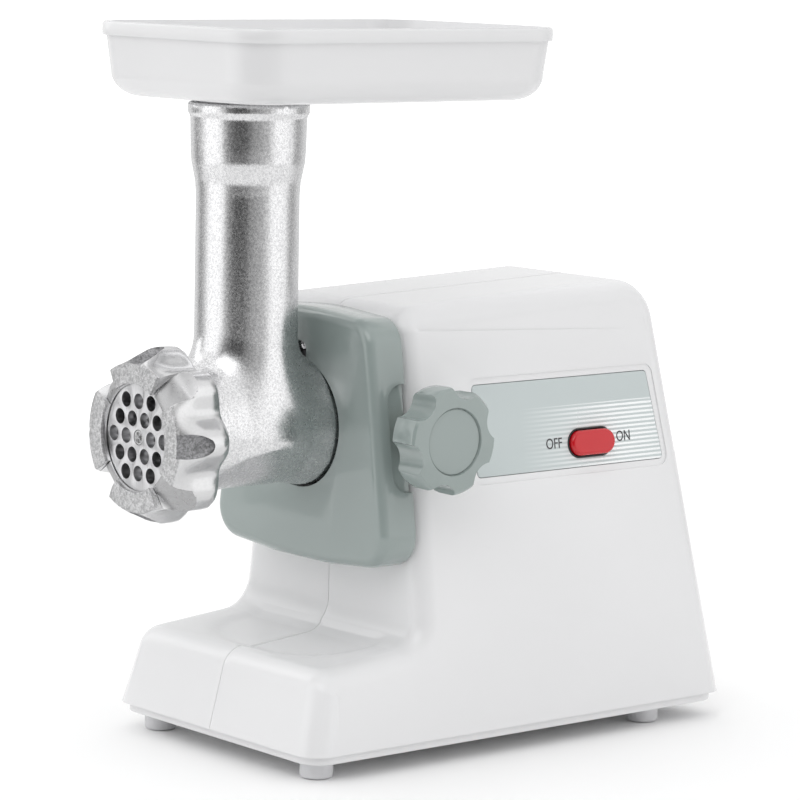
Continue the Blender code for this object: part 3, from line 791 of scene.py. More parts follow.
# ------------------------------------------------------------------ sub-assemblies
@dataclass
class Housing:
    """The two shells of the motor housing, with the toe and the side panel's recess."""

    datum: Datum
    looks: Finishes
    wall: float = 0.0022
    edge: float = 0.0105
    bottom: float = 0.0125
    front: float = 0.0505
    gap: float = 0.0003
    dish_depth: float = 0.0016
    socket_radius: float = 0.0342
    cord_radius: float = 0.0063
    vents: int = 5
    base_slots: int = 6

    def outline(self, distance: float) -> list[Vector]:
        """Side outline (y, z) of the body.

        Args:
            distance: how far it is moved inwards.

        Returns:
            The outline's points.
        """
        corners = [
            (-0.0180, self.bottom, 0), (0.2375, self.bottom, 0), (0.2085, 0.2125, 0.020),
            (self.front, 0.2060, 0.0115), (self.front, 0.0540, 0.014), (-0.0085, 0.0485, 0.0115),
        ]
        points = inset(rounded(corners, 12), distance)
        if distance:
            for point in points[:2]:
                point.y = self.bottom - 0.004
        return points

    def half(self, name: str, start: float, distance: float, edge: float,
             mirror: bool) -> bpy.types.Object:
        """One half of the body as a solid block.

        Args:
            name: the object's name.
            start: where it begins, beside the middle plane.
            distance: how far its faces are moved inwards.
            edge: width of its rounded edges.
            mirror: whether it is the left half.

        Returns:
            The block.
        """
        bm = bmesh.new()
        base = bm.faces.new([bm.verts.new((start, p.x, p.y)) for p in self.outline(distance)])
        made = bmesh.ops.extrude_face_region(bm, geom=[base])
        side = {v for v in made["geom"] if isinstance(v, bmesh.types.BMVert)}
        for vert in side:
            vert.co.x = side_x(vert.co.z) - distance
        rim = [e for e in bm.edges if e.verts[0] in side and e.verts[1] in side
               and max(v.co.z for v in e.verts) > self.bottom + 0.001]
        bmesh.ops.bevel(bm, geom=rim, offset=edge, segments=10, affect="EDGES", profile=0.5,
                        clamp_overlap=False)
        if not distance:
            self.dish(bm)
        if mirror:
            bmesh.ops.scale(bm, vec=Vector((-1, 1, 1)), verts=bm.verts)
        return mesh_object(name, bm, Matrix.Translation(self.datum.place(0, 0, 0)))

    def dish(self, bm: bmesh.types.BMesh) -> None:
        """Sinks the shallow bowl rest into the toe's top.

        Args:
            bm: the half block, which is cut finer there first.
        """
        half_width, half_length, power, slope = 0.050, 0.036, 2.6, 0.16
        for k in range(1, 18):
            geom = list(bm.verts) + list(bm.edges) + list(bm.faces)
            bmesh.ops.bisect_plane(bm, geom=geom, plane_co=(0.0036 * k, 0, 0), plane_no=(1, 0, 0))
        for k in range(16):
            geom = [f for f in bm.faces if f.calc_center_median().z < 0.070]
            edges = {e for f in geom for e in f.edges}
            verts = {v for f in geom for v in f.verts}
            bmesh.ops.bisect_plane(bm, geom=[*verts, *edges, *geom],
                                   plane_co=(0, -0.006 + 0.0035 * k, 0), plane_no=(0, 1, 0))
        for vert in bm.verts:
            x, y, z = vert.co
            if z < 0.044 or z > 0.062 or y > 0.046:
                continue
            across, along = x / half_width, abs(y - half_length) / half_length
            reach = (across ** power + along ** power) ** (1 / power)
            sink = min(max((1.0 - reach) / slope, 0.0), 1.0)
            vert.co.z -= self.dish_depth * sink * sink * (3 - 2 * sink)

    def shell(self, name: str, mirror: bool, extra: Sequence[bpy.types.Object] = ()) -> None:
        """Builds, hollows, cuts and dresses one shell.

        Args:
            name: the CAD node that it stands for.
            mirror: whether it is the left one.
            extra: more tools that cut it.
        """
        sign = -1 if mirror else 1
        solid = self.half(name + "_skin", self.gap / 2, 0.0, self.edge, mirror)
        hollow = self.half("hollow", -0.001, self.wall, self.edge - self.wall, mirror)
        place = self.datum.place
        tools = [hollow]
        front = at(place(0, self.front, self.datum.auger_z), Axis.FORWARD)
        tools.append(plug("front_hole", self.socket_radius, front))
        rear = at(place(0, 0.2348, 0.034), Axis.FORWARD)
        tools.append(plug("cord_hole", self.cord_radius, rear, 32))
        vent = block("vent", (0.030, 0.030, 0.0035), Matrix.Identity(4), 0.0012)
        row = Matrix.Translation(place(sign * 0.024, 0.229, 0.075))
        tools.append(Repeater(self.looks).lay_out(vent, row, self.vents, (0, 0, 0.009)))
        combine(solid, [*tools, *extra])
        finish(solid, self.looks["white_shell"], "housing", [name], 0.00035, 40)

    def build(self) -> None:
        """Makes both shells and the base."""
        notch = stud_notch(self.datum)
        panel = Panel(self.datum, self.looks)
        opening = panel.solid("opening", -0.006, 0.006, 0.0003)
        border = panel.solid("border", -0.0008, 0.006, 0.0034)
        self.shell("left_housing", True)
        self.shell("right_housing", False, [notch, border, opening])
        self.base()

    def base(self) -> None:
        """Makes the base plate with its air slots, and its feet."""
        corners = [(-0.074, -0.0155, 0.012), (0.074, -0.0155, 0.012),
                   (0.074, 0.2350, 0.012), (-0.074, 0.2350, 0.012)]
        rings = [[(p.x, p.y, z) for p in rounded(corners, 10)] for z in (0.0085, 0.0122)]
        plate = loft("base_plate_skin", rings, Matrix.Translation(self.datum.place(0, 0, 0)))
        slot = block("slot", (0.05, 0.004, 0.02), Matrix.Identity(4), 0.0012)
        row = Matrix.Translation(self.datum.place(0, 0.125, 0.010))
        combine(plate, [Repeater(self.looks).lay_out(slot, row, self.base_slots, (0, 0.010, 0))])
        finish(plate, self.looks["white_shell"], "housing", ["base_plate"], 0.0003)
        for hand in ("left", "right"):
            for end in ("front", "rear"):
                self.foot(f"foot_{end}_{hand}")

    def foot(self, node: str) -> None:
        """A round foot with a soft lower edge and a shallow hollow underneath.

        Args:
            node: the CAD foot that it stands for.
        """
        low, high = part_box(node)
        middle = Vector(((low[0] + high[0]) / 2, (low[1] + high[1]) / 2, low[2]))
        top, radius = high[2] - low[2], (high[0] - low[0]) / 2
        profile = [(0, top), (radius, top), (radius, 0.0014)]
        profile += [(radius - 0.0014 * (1 - math.cos(t)), 0.0014 * (1 - math.sin(t)))
                    for t in (0.4, 0.8, 1.2, QUARTER_TURN)]
        profile += [(radius * 0.55, 0.0), (radius * 0.5, 0.0008), (0, 0.0008)]
        foot = lathe(node + "_skin", profile, at(middle), 64)
        finish(foot, self.looks["soft_rubber"], "housing", [node])


@dataclass
class Panel:
    """The slanted label panel, its words and the rocker switch."""

    datum: Datum
    looks: Finishes
    letter_height: float = 0.0071

    def solid(self, name: str, low: float, high: float, grow: float) -> bpy.types.Object:
        """The panel's outline between two depths along the side face.

        Args:
            name: the object's name.
            low: the inner face's distance from the side face.
            high: the outer face's distance.
            grow: how much wider the outline is.

        Returns:
            The slab.
        """
        corners = [
            (0.0900 - grow, 0.1270 - grow, 0.002 + grow), (0.2070 + grow, 0.1270 - grow, 0.002 + grow),
            (0.1995 + grow, 0.1690 + grow, 0.002 + grow), (0.0900 - grow, 0.1690 + grow, 0.002 + grow),
        ]
        return side_slab(name, corners, low, high, Matrix.Translation(self.datum.place(0, 0, 0)))

    def stadium(self, name: str, half_length: float, half_height: float,
                levels: Sequence[Point2], tilt: float = 0.0) -> bpy.types.Object:
        """A race-track block on the side face.

        Args:
            name: the object's name.
            half_length: half its length along the machine.
            half_height: half its height.
            levels: (height, inset) of each ring.
            tilt: turn about its upright axis, in radians.

        Returns:
            The block.
        """
        rings = []
        for height, pull in levels:
            radius = half_height - pull
            run = half_length - half_height
            half = [(run + radius * math.cos(a), radius * math.sin(a))
                    for a in (math.pi * k / 24 - QUARTER_TURN for k in range(25))]
            rings.append([(height, y, z) for y, z in half + [(-y, -z) for y, z in half]])
        middle = self.datum.place(side_x(ROCKER_Z), ROCKER_Y, ROCKER_Z)
        place = Matrix.Translation(middle) @ SIDE_TILT @ Matrix.Rotation(tilt, 4, "Z")
        return loft(name, rings, place)

    def word(self, text: str, y: float, z: float) -> None:
        """A printed word on the panel, 0.05 mm thick each way.

        Args:
            text: the word.
            y: its middle along the machine.
            z: its middle's height.
        """
        curve = bpy.data.curves.new("word_" + text.lower(), "FONT")
        curve.body = text
        curve.size = self.letter_height
        curve.extrude = 0.00005
        curve.align_x = "CENTER"
        curve.align_y = "CENTER"
        source = bpy.data.objects.new("word_source", curve)
        bpy.context.scene.collection.objects.link(source)
        graph = bpy.context.evaluated_depsgraph_get()
        mesh = bpy.data.meshes.new_from_object(source.evaluated_get(graph))
        bpy.data.objects.remove(source, do_unlink=True)
        stand = Matrix(((0, 0, 1, 0), (1, 0, 0, 0), (0, 1, 0, 0), (0, 0, 0, 1)))
        where = self.datum.place(side_x(z) - 0.00052, y, z)
        mesh.transform(Matrix.Translation(where) @ SIDE_TILT @ stand @ Matrix.Diagonal((0.82, 1, 1, 1)))
        obj = bpy.data.objects.new("printed_" + text.lower(), mesh)
        bpy.context.scene.collection.objects.link(obj)
        finish(obj, self.looks["print_ink"], "housing")

    def build(self) -> None:
        """Makes the panel, the words and the switch."""
        panel = self.solid("control_panel_skin", -0.0026, -0.0006, 0.0)
        window = self.stadium("window", 0.0142, 0.0070, [(-0.01, 0), (0.01, 0)])
        combine(panel, [window])
        finish(panel, self.looks["panel_print"], "housing", ["control_panel"], 0.00025)
        bezel = self.stadium("switch_bezel", 0.0141, 0.0069, [(-0.0030, 0), (-0.0004, 0)])
        combine(bezel, [self.stadium("mouth", 0.0134, 0.0063, [(-0.01, 0), (0.01, 0)])])
        finish(bezel, self.looks["black_moulding"], "housing", edge=0.00012)
        levels = [(-0.0031, 0.0), (0.0012, 0.0)]
        for k in range(1, 7):
            angle = QUARTER_TURN * k / 6
            levels.append((0.0012 + 0.0017 * math.sin(angle), 0.0017 * (1 - math.cos(angle))))
        button = self.stadium("rocker_button", 0.0129, 0.0059, levels, math.radians(-5))
        finish(button, self.looks["red_rocker"], "switch", ["switch_button"])
        self.word("OFF", 0.1380, 0.1388)
        self.word("ON", 0.1822, 0.1392)


@dataclass
class Faceplate:
    """The grey cover round the head's socket."""

    datum: Datum
    looks: Finishes
    front: float = 0.031
    rear: float = 0.0502
    edge: float = 0.005
    wall: float = 0.003
    hole_radius: float = 0.0295

    def outline(self, distance: float) -> list[Vector]:
        """Front outline (x, z) of the cover.

        Args:
            distance: how far it is moved inwards.

        Returns:
            The outline's points.
        """
        corners = [
            (-0.0650, 0.0905, 0.015), (-0.0200, 0.0868, 0.10), (0.0200, 0.0868, 0.10),
            (0.0650, 0.0905, 0.015), (0.0487, 0.2010, 0.014), (0.0, 0.2046, 0.20),
            (-0.0487, 0.2010, 0.014),
        ]
        return inset(rounded(corners, 12), distance)

    def build(self) -> None:
        """Makes the cover with its round hole, keyway and knob recess."""
        place = self.datum.place
        origin = Matrix.Translation(place(0, 0, 0))
        rings = [[(p.x, self.rear, p.y) for p in self.outline(0)]]
        for k in range(9):
            angle = QUARTER_TURN * k / 8
            sink, rise = self.edge * (1 - math.cos(angle)), self.edge * (1 - math.sin(angle))
            rings.append([(p.x, self.front + rise, p.y) for p in self.outline(sink)])
        plate = loft("faceplate_skin", rings, origin)
        hollow = self.outline(self.wall + 0.0008)
        inside = [[(p.x, y, p.y) for p in hollow] for y in (self.rear + 0.002, self.front + self.wall)]
        z = self.datum.auger_z
        tools = [loft("inside", inside, origin)]
        tools.append(plug("hole", self.hole_radius, at(place(0, 0.032, z), Axis.FORWARD), 128))
        tools.append(block("keyway", (0.0094, 0.02, 0.042), Matrix.Translation(
            place(0, 0.032, z + 0.0170)), 0.0040))
        recess = [(0.0395, 0.1240, 0.008), (0.0620, 0.1240, 0.001), (0.0620, 0.1724, 0.001),
                  (0.0395, 0.1724, 0.008)]
        tools.append(side_slab("knob_recess", recess, -0.0024, 0.006, origin))
        tools.append(stud_notch(self.datum))
        combine(plate, tools)
        finish(plate, self.looks["grey_green_gloss"], "housing", ["faceplate"],
               0.0004, 38)


@dataclass
class Head:
    """The cast head: a barrel and an upright chute that run into each other with large fillets."""

    datum: Datum
    looks: Finishes
    voxel: float = 0.0011
    blend: float = 0.020
    barrel: tuple[Point2, ...] = ((-0.0540, 0.0274), (-0.0360, 0.0274), (-0.0300, 0.0279),
                                  (-0.0180, 0.0266), (0.0180, 0.0264), (0.0290, 0.0284),
                                  (0.0660, 0.0284))
    chute: tuple[Point2, ...] = ((0.0, 0.0236), (0.1060, 0.0234), (0.1120, 0.0238), (0.1210, 0.0256),
                                 (0.1270, 0.0260), (0.1412, 0.0263), (0.1432, 0.0274),
                                 (0.1477, 0.0274))
    bore: tuple[Point2, ...] = ((-0.0560, 0.0243), (0.0360, 0.0243), (0.0361, 0.0085),
                                (0.0460, 0.0085), (0.0461, 0.0240), (0.0680, 0.0240))
    throat: tuple[Point2, ...] = ((0.0, 0.0208), (0.1080, 0.0208), (0.1230, 0.0238), (0.15, 0.0238))

    @staticmethod
    def tube(points: np.ndarray, axis: int, stations: Sequence[Point2]) -> np.ndarray:
        """Signed distance, roughly, from a stepped round bar.

        Args:
            points: one row for each point.
            axis: 1 for a bar along Y and 2 for one along Z.
            stations: (place along the bar, radius) in order.

        Returns:
            One distance for each point.
        """
        others = [i for i in range(3) if i != axis]
        radial = np.hypot(points[:, others[0]], points[:, others[1]])
        place, radius = np.array(stations).T
        side = radial - np.interp(points[:, axis], place, radius)
        ends = np.maximum(place[0] - points[:, axis], points[:, axis] - place[-1])
        return np.maximum(side, ends)

    def outside(self, points: np.ndarray) -> np.ndarray:
        """Signed distance from the blended outer skin.

        Args:
            points: one row for each point.

        Returns:
            One distance for each point.
        """
        one = self.tube(points, 1, self.barrel)
        two = self.tube(points, 2, self.chute)
        mix = np.clip(0.5 + 0.5 * (two - one) / self.blend, 0, 1)
        return two + (one - two) * mix - self.blend * mix * (1 - mix)

    def settle(self, points: np.ndarray, skin: Callable[[np.ndarray], np.ndarray]) -> np.ndarray:
        """Moves points onto a skin along its slope.

        Args:
            points: one row for each point.
            skin: the signed distance to the skin.

        Returns:
            The moved points.
        """
        small = 1e-5
        for _ in range(6):
            value = skin(points)
            slope = np.stack([skin(points + small * np.eye(3)[i]) - value for i in range(3)], 1) / small
            size = np.maximum((slope ** 2).sum(1), 0.2)
            points = points - slope * (value / size)[:, None]
        return points

    def build(self) -> None:
        """Makes the casting."""
        z = self.datum.auger_z
        place = self.datum.place
        forward = at(place(0, 0, z), Axis.BACKWARD)
        upright = at(place(0, 0, z))
        barrel = [(0, self.barrel[0][0]), *[(r, y) for y, r in self.barrel], (0, self.barrel[-1][0])]
        chute = [(0, 0.0), *[(r, h) for h, r in self.chute], (0, self.chute[-1][0])]
        body = lathe("grinder_head_skin", barrel, forward, 72)
        combine(body, [lathe("chute", chute, upright, 72)], "UNION")
        bore = [(0, self.bore[0][0]), *[(r, y) for y, r in self.bore], (0, self.bore[-1][0])]
        throat = [(0, 0.0), *[(r, h) for h, r in self.throat], (0, self.throat[-1][0])]
        combine(body, [lathe("bore", bore, forward, 72), lathe("throat", throat, upright, 72)])
        remesh = body.modifiers.new("Remesh", "REMESH")
        remesh.mode = "VOXEL"
        remesh.voxel_size = self.voxel
        bake(body)
        count = len(body.data.vertices)
        flat = np.empty(count * 3, np.float32)
        body.data.vertices.foreach_get("co", flat)
        origin = np.array(place(0, 0, z))
        points = flat.reshape(-1, 3).astype(float) - origin
        outer = self.outside(points)
        inner = np.minimum(self.tube(points, 1, self.bore), self.tube(points, 2, self.throat))
        skin = np.abs(np.minimum(self.tube(points, 1, self.barrel), self.tube(points, 2, self.chute)))
        ends = (points[:, 1] < -0.0530) | (points[:, 1] > 0.0650) | (points[:, 2] > 0.1470)
        moved = (skin < np.abs(inner)) & ~ends & (np.abs(outer) < 0.008)
        points[moved] = self.settle(points[moved], self.outside)
        body.data.vertices.foreach_set("co", (points + origin).astype(np.float32).ravel())
        body.data.update()
        finish(body, self.looks["tumbled_casting"], "head", ["grinder_head"],
               angle=50)


# Material slots on the nut: milled slot floors, and pocket walls that are rough and darkened with painted
# shade
MILLED, ROUGH_PAINTED_SHADE = 1, 2


@dataclass
class GrindingEnd:
    """The perforated plate and the castellated ring nut at the barrel's mouth."""

    datum: Datum
    looks: Finishes
    face: float = 0.0592
    thickness: float = 0.0045
    radius: float = 0.027
    hole_radius: float = 0.0035
    pitch: float = 0.00935
    slot_stations: tuple[tuple[float, float, float, float], ...] = (
        (0.0200, 0.0607, 0.0042, 0.0052), (0.0275, 0.0601, 0.0052, 0.0062),
        (0.0345, 0.0540, 0.0070, 0.0088), (0.0440, 0.0440, 0.0082, 0.0105))
    pocket: tuple[Point2, ...] = ((0, 0.0040), (0.0098, 0.0040), (0.0086, -0.0020), (0.0026, -0.0120),
                                  (0, -0.0135))

    def perforator(self) -> bpy.types.NodeTree:
        """Geometry Nodes tree that drills a hexagonal field of holes through its input.

        Returns:
            The node group, with inputs for hole radius, pitch, field radius and finish.
        """
        tree = bpy.data.node_groups.new("drilled_holes", "GeometryNodeTree")
        face = tree.interface
        face.new_socket("Geometry", in_out="INPUT", socket_type="NodeSocketGeometry")
        for name in ("Hole radius", "Pitch", "Field radius"):
            face.new_socket(name, in_out="INPUT", socket_type="NodeSocketFloat")
        face.new_socket("Finish", in_out="INPUT", socket_type="NodeSocketMaterial")
        face.new_socket("Geometry", in_out="OUTPUT", socket_type="NodeSocketGeometry")
        nodes, links = tree.nodes, tree.links
        start, end = nodes.new("NodeGroupInput"), nodes.new("NodeGroupOutput")

        pitch = start.outputs["Pitch"]
        grid = nodes.new("GeometryNodeMeshGrid")
        steps, row_share = 8.0, math.sqrt(0.75)
        grid.inputs["Vertices X"].default_value = int(steps) + 1
        grid.inputs["Vertices Y"].default_value = int(steps) + 1
        links.new(math_output(tree, "MULTIPLY", pitch, steps), grid.inputs["Size X"])
        rows = math_output(tree, "MULTIPLY", pitch, steps * row_share)
        links.new(rows, grid.inputs["Size Y"])
        position = nodes.new("GeometryNodeInputPosition")
        split = nodes.new("ShaderNodeSeparateXYZ")
        links.new(position.outputs[0], split.inputs[0])
        step = math_output(tree, "MULTIPLY", pitch, row_share)
        row = math_output(tree, "ROUND", math_output(tree, "DIVIDE", split.outputs["Y"], step), 0.0)
        odd = math_output(tree, "FLOORED_MODULO", row, 2.0)
        shift = nodes.new("ShaderNodeCombineXYZ")
        half = math_output(tree, "MULTIPLY", pitch, 0.5)
        links.new(math_output(tree, "MULTIPLY", odd, half), shift.inputs["X"])
        move = nodes.new("GeometryNodeSetPosition")
        links.new(grid.outputs["Mesh"], move.inputs["Geometry"])
        links.new(shift.outputs[0], move.inputs["Offset"])
        length = nodes.new("ShaderNodeVectorMath")
        length.operation = "LENGTH"
        links.new(position.outputs[0], length.inputs[0])
        outside = math_output(tree, "GREATER_THAN", length.outputs["Value"], start.outputs["Field radius"])
        drop = nodes.new("GeometryNodeDeleteGeometry")
        drop.domain = "POINT"
        links.new(move.outputs[0], drop.inputs["Geometry"])
        links.new(outside, drop.inputs["Selection"])
        drill = nodes.new("GeometryNodeMeshCylinder")
        drill.inputs["Vertices"].default_value = 40
        drill.inputs["Depth"].default_value = 0.02
        links.new(start.outputs["Hole radius"], drill.inputs["Radius"])
        copies = nodes.new("GeometryNodeInstanceOnPoints")
        links.new(drop.outputs[0], copies.inputs["Points"])
        links.new(drill.outputs["Mesh"], copies.inputs["Instance"])
        solid = nodes.new("GeometryNodeRealizeInstances")
        links.new(copies.outputs[0], solid.inputs[0])
        cutter = nodes.new("GeometryNodeMeshBoolean")
        cutter.operation = "DIFFERENCE"
        links.new(start.outputs["Geometry"], cutter.inputs["Mesh 1"])
        links.new(solid.outputs[0], cutter.inputs["Mesh 2"])
        dress = nodes.new("GeometryNodeSetMaterial")
        links.new(cutter.outputs["Mesh"], dress.inputs["Geometry"])
        links.new(start.outputs["Finish"], dress.inputs["Material"])
        links.new(dress.outputs[0], end.inputs[0])
        return tree

    def plate(self) -> None:
        """The steel plate: rounded rim, drilled field and a centre stub."""
        rim, half = 0.0004, self.thickness / 2
        profile = [(0, half), (self.radius - rim, half), (self.radius, half - rim),
                   (self.radius, -half + rim), (self.radius - rim, -half), (0, -half)]
        disc = lathe("drilled_plate", profile, Matrix.Identity(4), 128)
        values = {"Hole radius": self.hole_radius, "Pitch": self.pitch, "Field radius": 0.0215,
                  "Finish": self.looks["ground_steel"]}
        run_nodes(disc, self.perforator(), values)
        where = self.datum.place(0, -self.face + half, self.datum.auger_z)
        disc.data.transform(at(where, Axis.FORWARD))
        finish(disc, self.looks["ground_steel"], "plate", ["grinding_plate"], 0.00018)
        stub = lathe("auger_stub", [(0, 0.0590), (0.0026, 0.0590), (0.0031, 0.0585), (0.0031, 0.0540),
                                    (0, 0.0540)][::-1],
                     at(self.datum.place(0, 0, self.datum.auger_z), Axis.FORWARD), 48)
        finish(stub, self.looks["bright_steel"], "auger")

    @staticmethod
    def lobes(radius: float, dip: float, height: float, count: int = 8, points: int = 320) -> Ring:
        """A round outline with soft dips between its lobes.

        Args:
            radius: the lobes' radius.
            dip: depth of the dips.
            height: the ring's height.
            count: how many lobes.
            points: how many points.

        Returns:
            The ring.
        """
        ring = []
        for i in range(points):
            angle = FULL_TURN * i / points
            wave = (1 - math.cos(count * angle)) / 2
            reach = radius - dip * wave ** 1.3
            ring.append((reach * math.cos(angle), reach * math.sin(angle), height))
        return ring

    def slot(self, place: Matrix) -> bpy.types.Object:
        """A slot tool that widens and deepens outwards, with slanted flanks at its mouth.

        Args:
            place: the tool's transform.

        Returns:
            The tool.
        """
        rings = []
        for reach, floor, half, mouth in self.slot_stations:
            rings.append([(reach, -half, floor), (reach, half, floor), (reach, half + 0.0004, 0.0590),
                          (reach, mouth, 0.0632), (reach, -mouth, 0.0632), (reach, -half - 0.0004, 0.0590)])
        return loft("slot", rings, place)

    def mill_floors_and_shade_pockets(self, nut: bpy.types.Object, slots: Sequence[Matrix], pockets: Sequence[Matrix]) -> None:
        """Gives the slots' floors a milled finish, and the pockets a rough finish darkened with painted
        shade.

        Args:
            nut: the finished nut.
            slots: the slots' transforms.
            pockets: the pockets' transforms.
        """
        nut.data.materials.append(self.looks["milled_flat"])
        nut.data.materials.append(self.looks["sand_casting_painted_shade"])
        reach, floor, half, _ = np.array(self.slot_stations).T
        heights = [height for _, height in self.pocket][::-1]
        radii = [radius for radius, _ in self.pocket][::-1]
        inner, outer, floor_gap = 0.0242, 0.0410, 0.0003
        lowest, highest, wall_gap = -0.0136, 0.0040, 0.0006
        slot_views = [place.inverted() for place in slots]
        pocket_views = [place.inverted() for place in pockets]
        for face in nut.data.polygons:
            for view in slot_views:
                x, y, z = view @ face.center
                on_floor = abs(z - np.interp(x, reach, floor)) < floor_gap
                between = abs(y) < np.interp(x, reach, half) + 0.0002
                if on_floor and between and inner < x < outer:
                    face.material_index = MILLED
            for view in pocket_views:
                x, y, z = view @ face.center
                gap = abs(math.hypot(x, y) - np.interp(z, heights, radii))
                facing = (view.to_3x3() @ face.normal).xy.dot(Vector((x, y)).normalized())
                if lowest < z < highest and gap < wall_gap and facing < -0.5:
                    # Pocket walls get the dark finish: painted shade inside the hollows
                    face.material_index = ROUGH_PAINTED_SHADE

    def nut(self) -> None:
        """The ring nut: scalloped skirt, sloping shoulders and four wide slots."""
        stations = [(0.0362, 0.0366, 0.0044), (0.0372, 0.0380, 0.0056), (0.0395, 0.0395, 0.0064),
                    (0.0425, 0.0398, 0.0066), (0.0495, 0.0398, 0.0064), (0.0515, 0.0394, 0.0058),
                    (0.0550, 0.0378, 0.0038), (0.0590, 0.0356, 0.0014), (0.0625, 0.0334, 0.0)]
        rings = [self.lobes(radius, dip, height) for height, radius, dip in stations]
        place = at(self.datum.place(0, 0, self.datum.auger_z), Axis.FORWARD)
        nut = loft("ring_nut_skin", rings, place)
        bore = [(0, 0.0350), (0.0280, 0.0350), (0.0280, 0.0596), (0.0240, 0.0596), (0.0246, 0.0650),
                (0, 0.0650)]
        tools = [lathe("nut_bore", bore, place, 160)]
        turns = [Matrix.Rotation(QUARTER_TURN * k, 4, "Z") for k in range(4)]
        diagonal = Matrix.Rotation(math.pi / 4, 4, "Z")
        slots = [place @ turn @ diagonal for turn in turns]
        seat = Matrix.Translation((0.0418, 0, 0.0590)) @ Matrix.Rotation(math.radians(14), 4, "Y")
        pockets = [place @ turn @ seat for turn in turns]
        copies = Repeater(self.looks)
        tools.append(copies.lay_out(self.slot(diagonal), place, 4, turn=QUARTER_TURN))
        pocket = lathe("pocket", self.pocket[::-1], seat, 32)
        tools.append(copies.lay_out(pocket, place, 4, turn=QUARTER_TURN))
        combine(nut, tools)
        finish(nut, self.looks["nut_casting"], "nut", ["ring_nut"], 0.00035, 40)
        self.mill_floors_and_shade_pockets(nut, slots, pockets)

    def build(self) -> None:
        """Makes both pieces."""
        self.plate()
        self.nut()


@dataclass
class Tray:
    """The hopper tray with its lip and spout."""

    datum: Datum
    looks: Finishes
    half_width: float = 0.063
    front: float = -0.047
    back: float = 0.138
    top: float = 0.3325
    bottom: float = 0.2990
    corner: float = 0.022

    def ring(self, z: float, pull: float) -> Ring:
        """A rounded rectangle at a height.

        Args:
            z: the height.
            pull: how far it is drawn in.

        Returns:
            The ring.
        """
        middle, half_y = (self.front + self.back) / 2, (self.back - self.front) / 2 - pull
        half_x, corner = self.half_width - pull, max(self.corner - pull * 0.5, 0.004)
        corners = [(-half_x, -half_y, corner), (half_x, -half_y, corner),
                   (half_x, half_y, corner), (-half_x, half_y, corner)]
        return [(p.x, p.y + middle, z) for p in rounded(corners, 14)]

    def bowl(self, name: str, top: float, bottom: float, shrink: float, edge: float) -> bpy.types.Object:
        """A drafted block with a rounded lower edge.

        Args:
            name: the object's name.
            top: height of its top.
            bottom: height of its bottom.
            shrink: how far its sides are drawn in.
            edge: radius of the lower edge.

        Returns:
            The block.
        """
        rings = [self.ring(top, shrink)]
        for k in range(13):
            angle = QUARTER_TURN * k / 12
            pull = shrink + 0.0025 + edge * (1 - math.cos(angle))
            rings.append(self.ring(bottom + edge * (1 - math.sin(angle)), pull))
        return loft(name, rings, Matrix.Translation(self.datum.place(0, 0, 0)))

    def build(self) -> None:
        """Makes the tray as one moulding."""
        place = Matrix.Translation(self.datum.place(0, 0, 0))
        tray = self.bowl("hopper_tray_skin", self.top, self.bottom, 0.0009, 0.0115)
        lip_levels = [(self.top - 0.0062, 0.0003), (self.top - 0.0055, 0.0), (self.top - 0.0012, 0.0),
                      (self.top - 0.0004, 0.0004), (self.top - 0.00005, 0.0012)]
        lip = loft("lip", [self.ring(z, pull) for z, pull in lip_levels], place)
        spout = lathe("spout", [(0, 0.301), (0.0232, 0.301), (0.0232, 0.2744), (0.0228, 0.2740),
                                (0, 0.2740)], place)
        combine(tray, [lip, spout], "UNION")
        inside = self.bowl("inside", self.top + 0.001, self.bottom + 0.0022, 0.0033, 0.0098)
        mouth = [(0, 0.31), (0.0228, 0.31), (0.0228, 0.3012), (0.0216, 0.2996), (0.0212, 0.2975),
                 (0.0212, 0.27), (0, 0.27)]
        combine(tray, [inside, lathe("mouth", mouth, place, 128)])
        finish(tray, self.looks["white_shell"], "tray", ["hopper_tray"], 0.0004, 35)


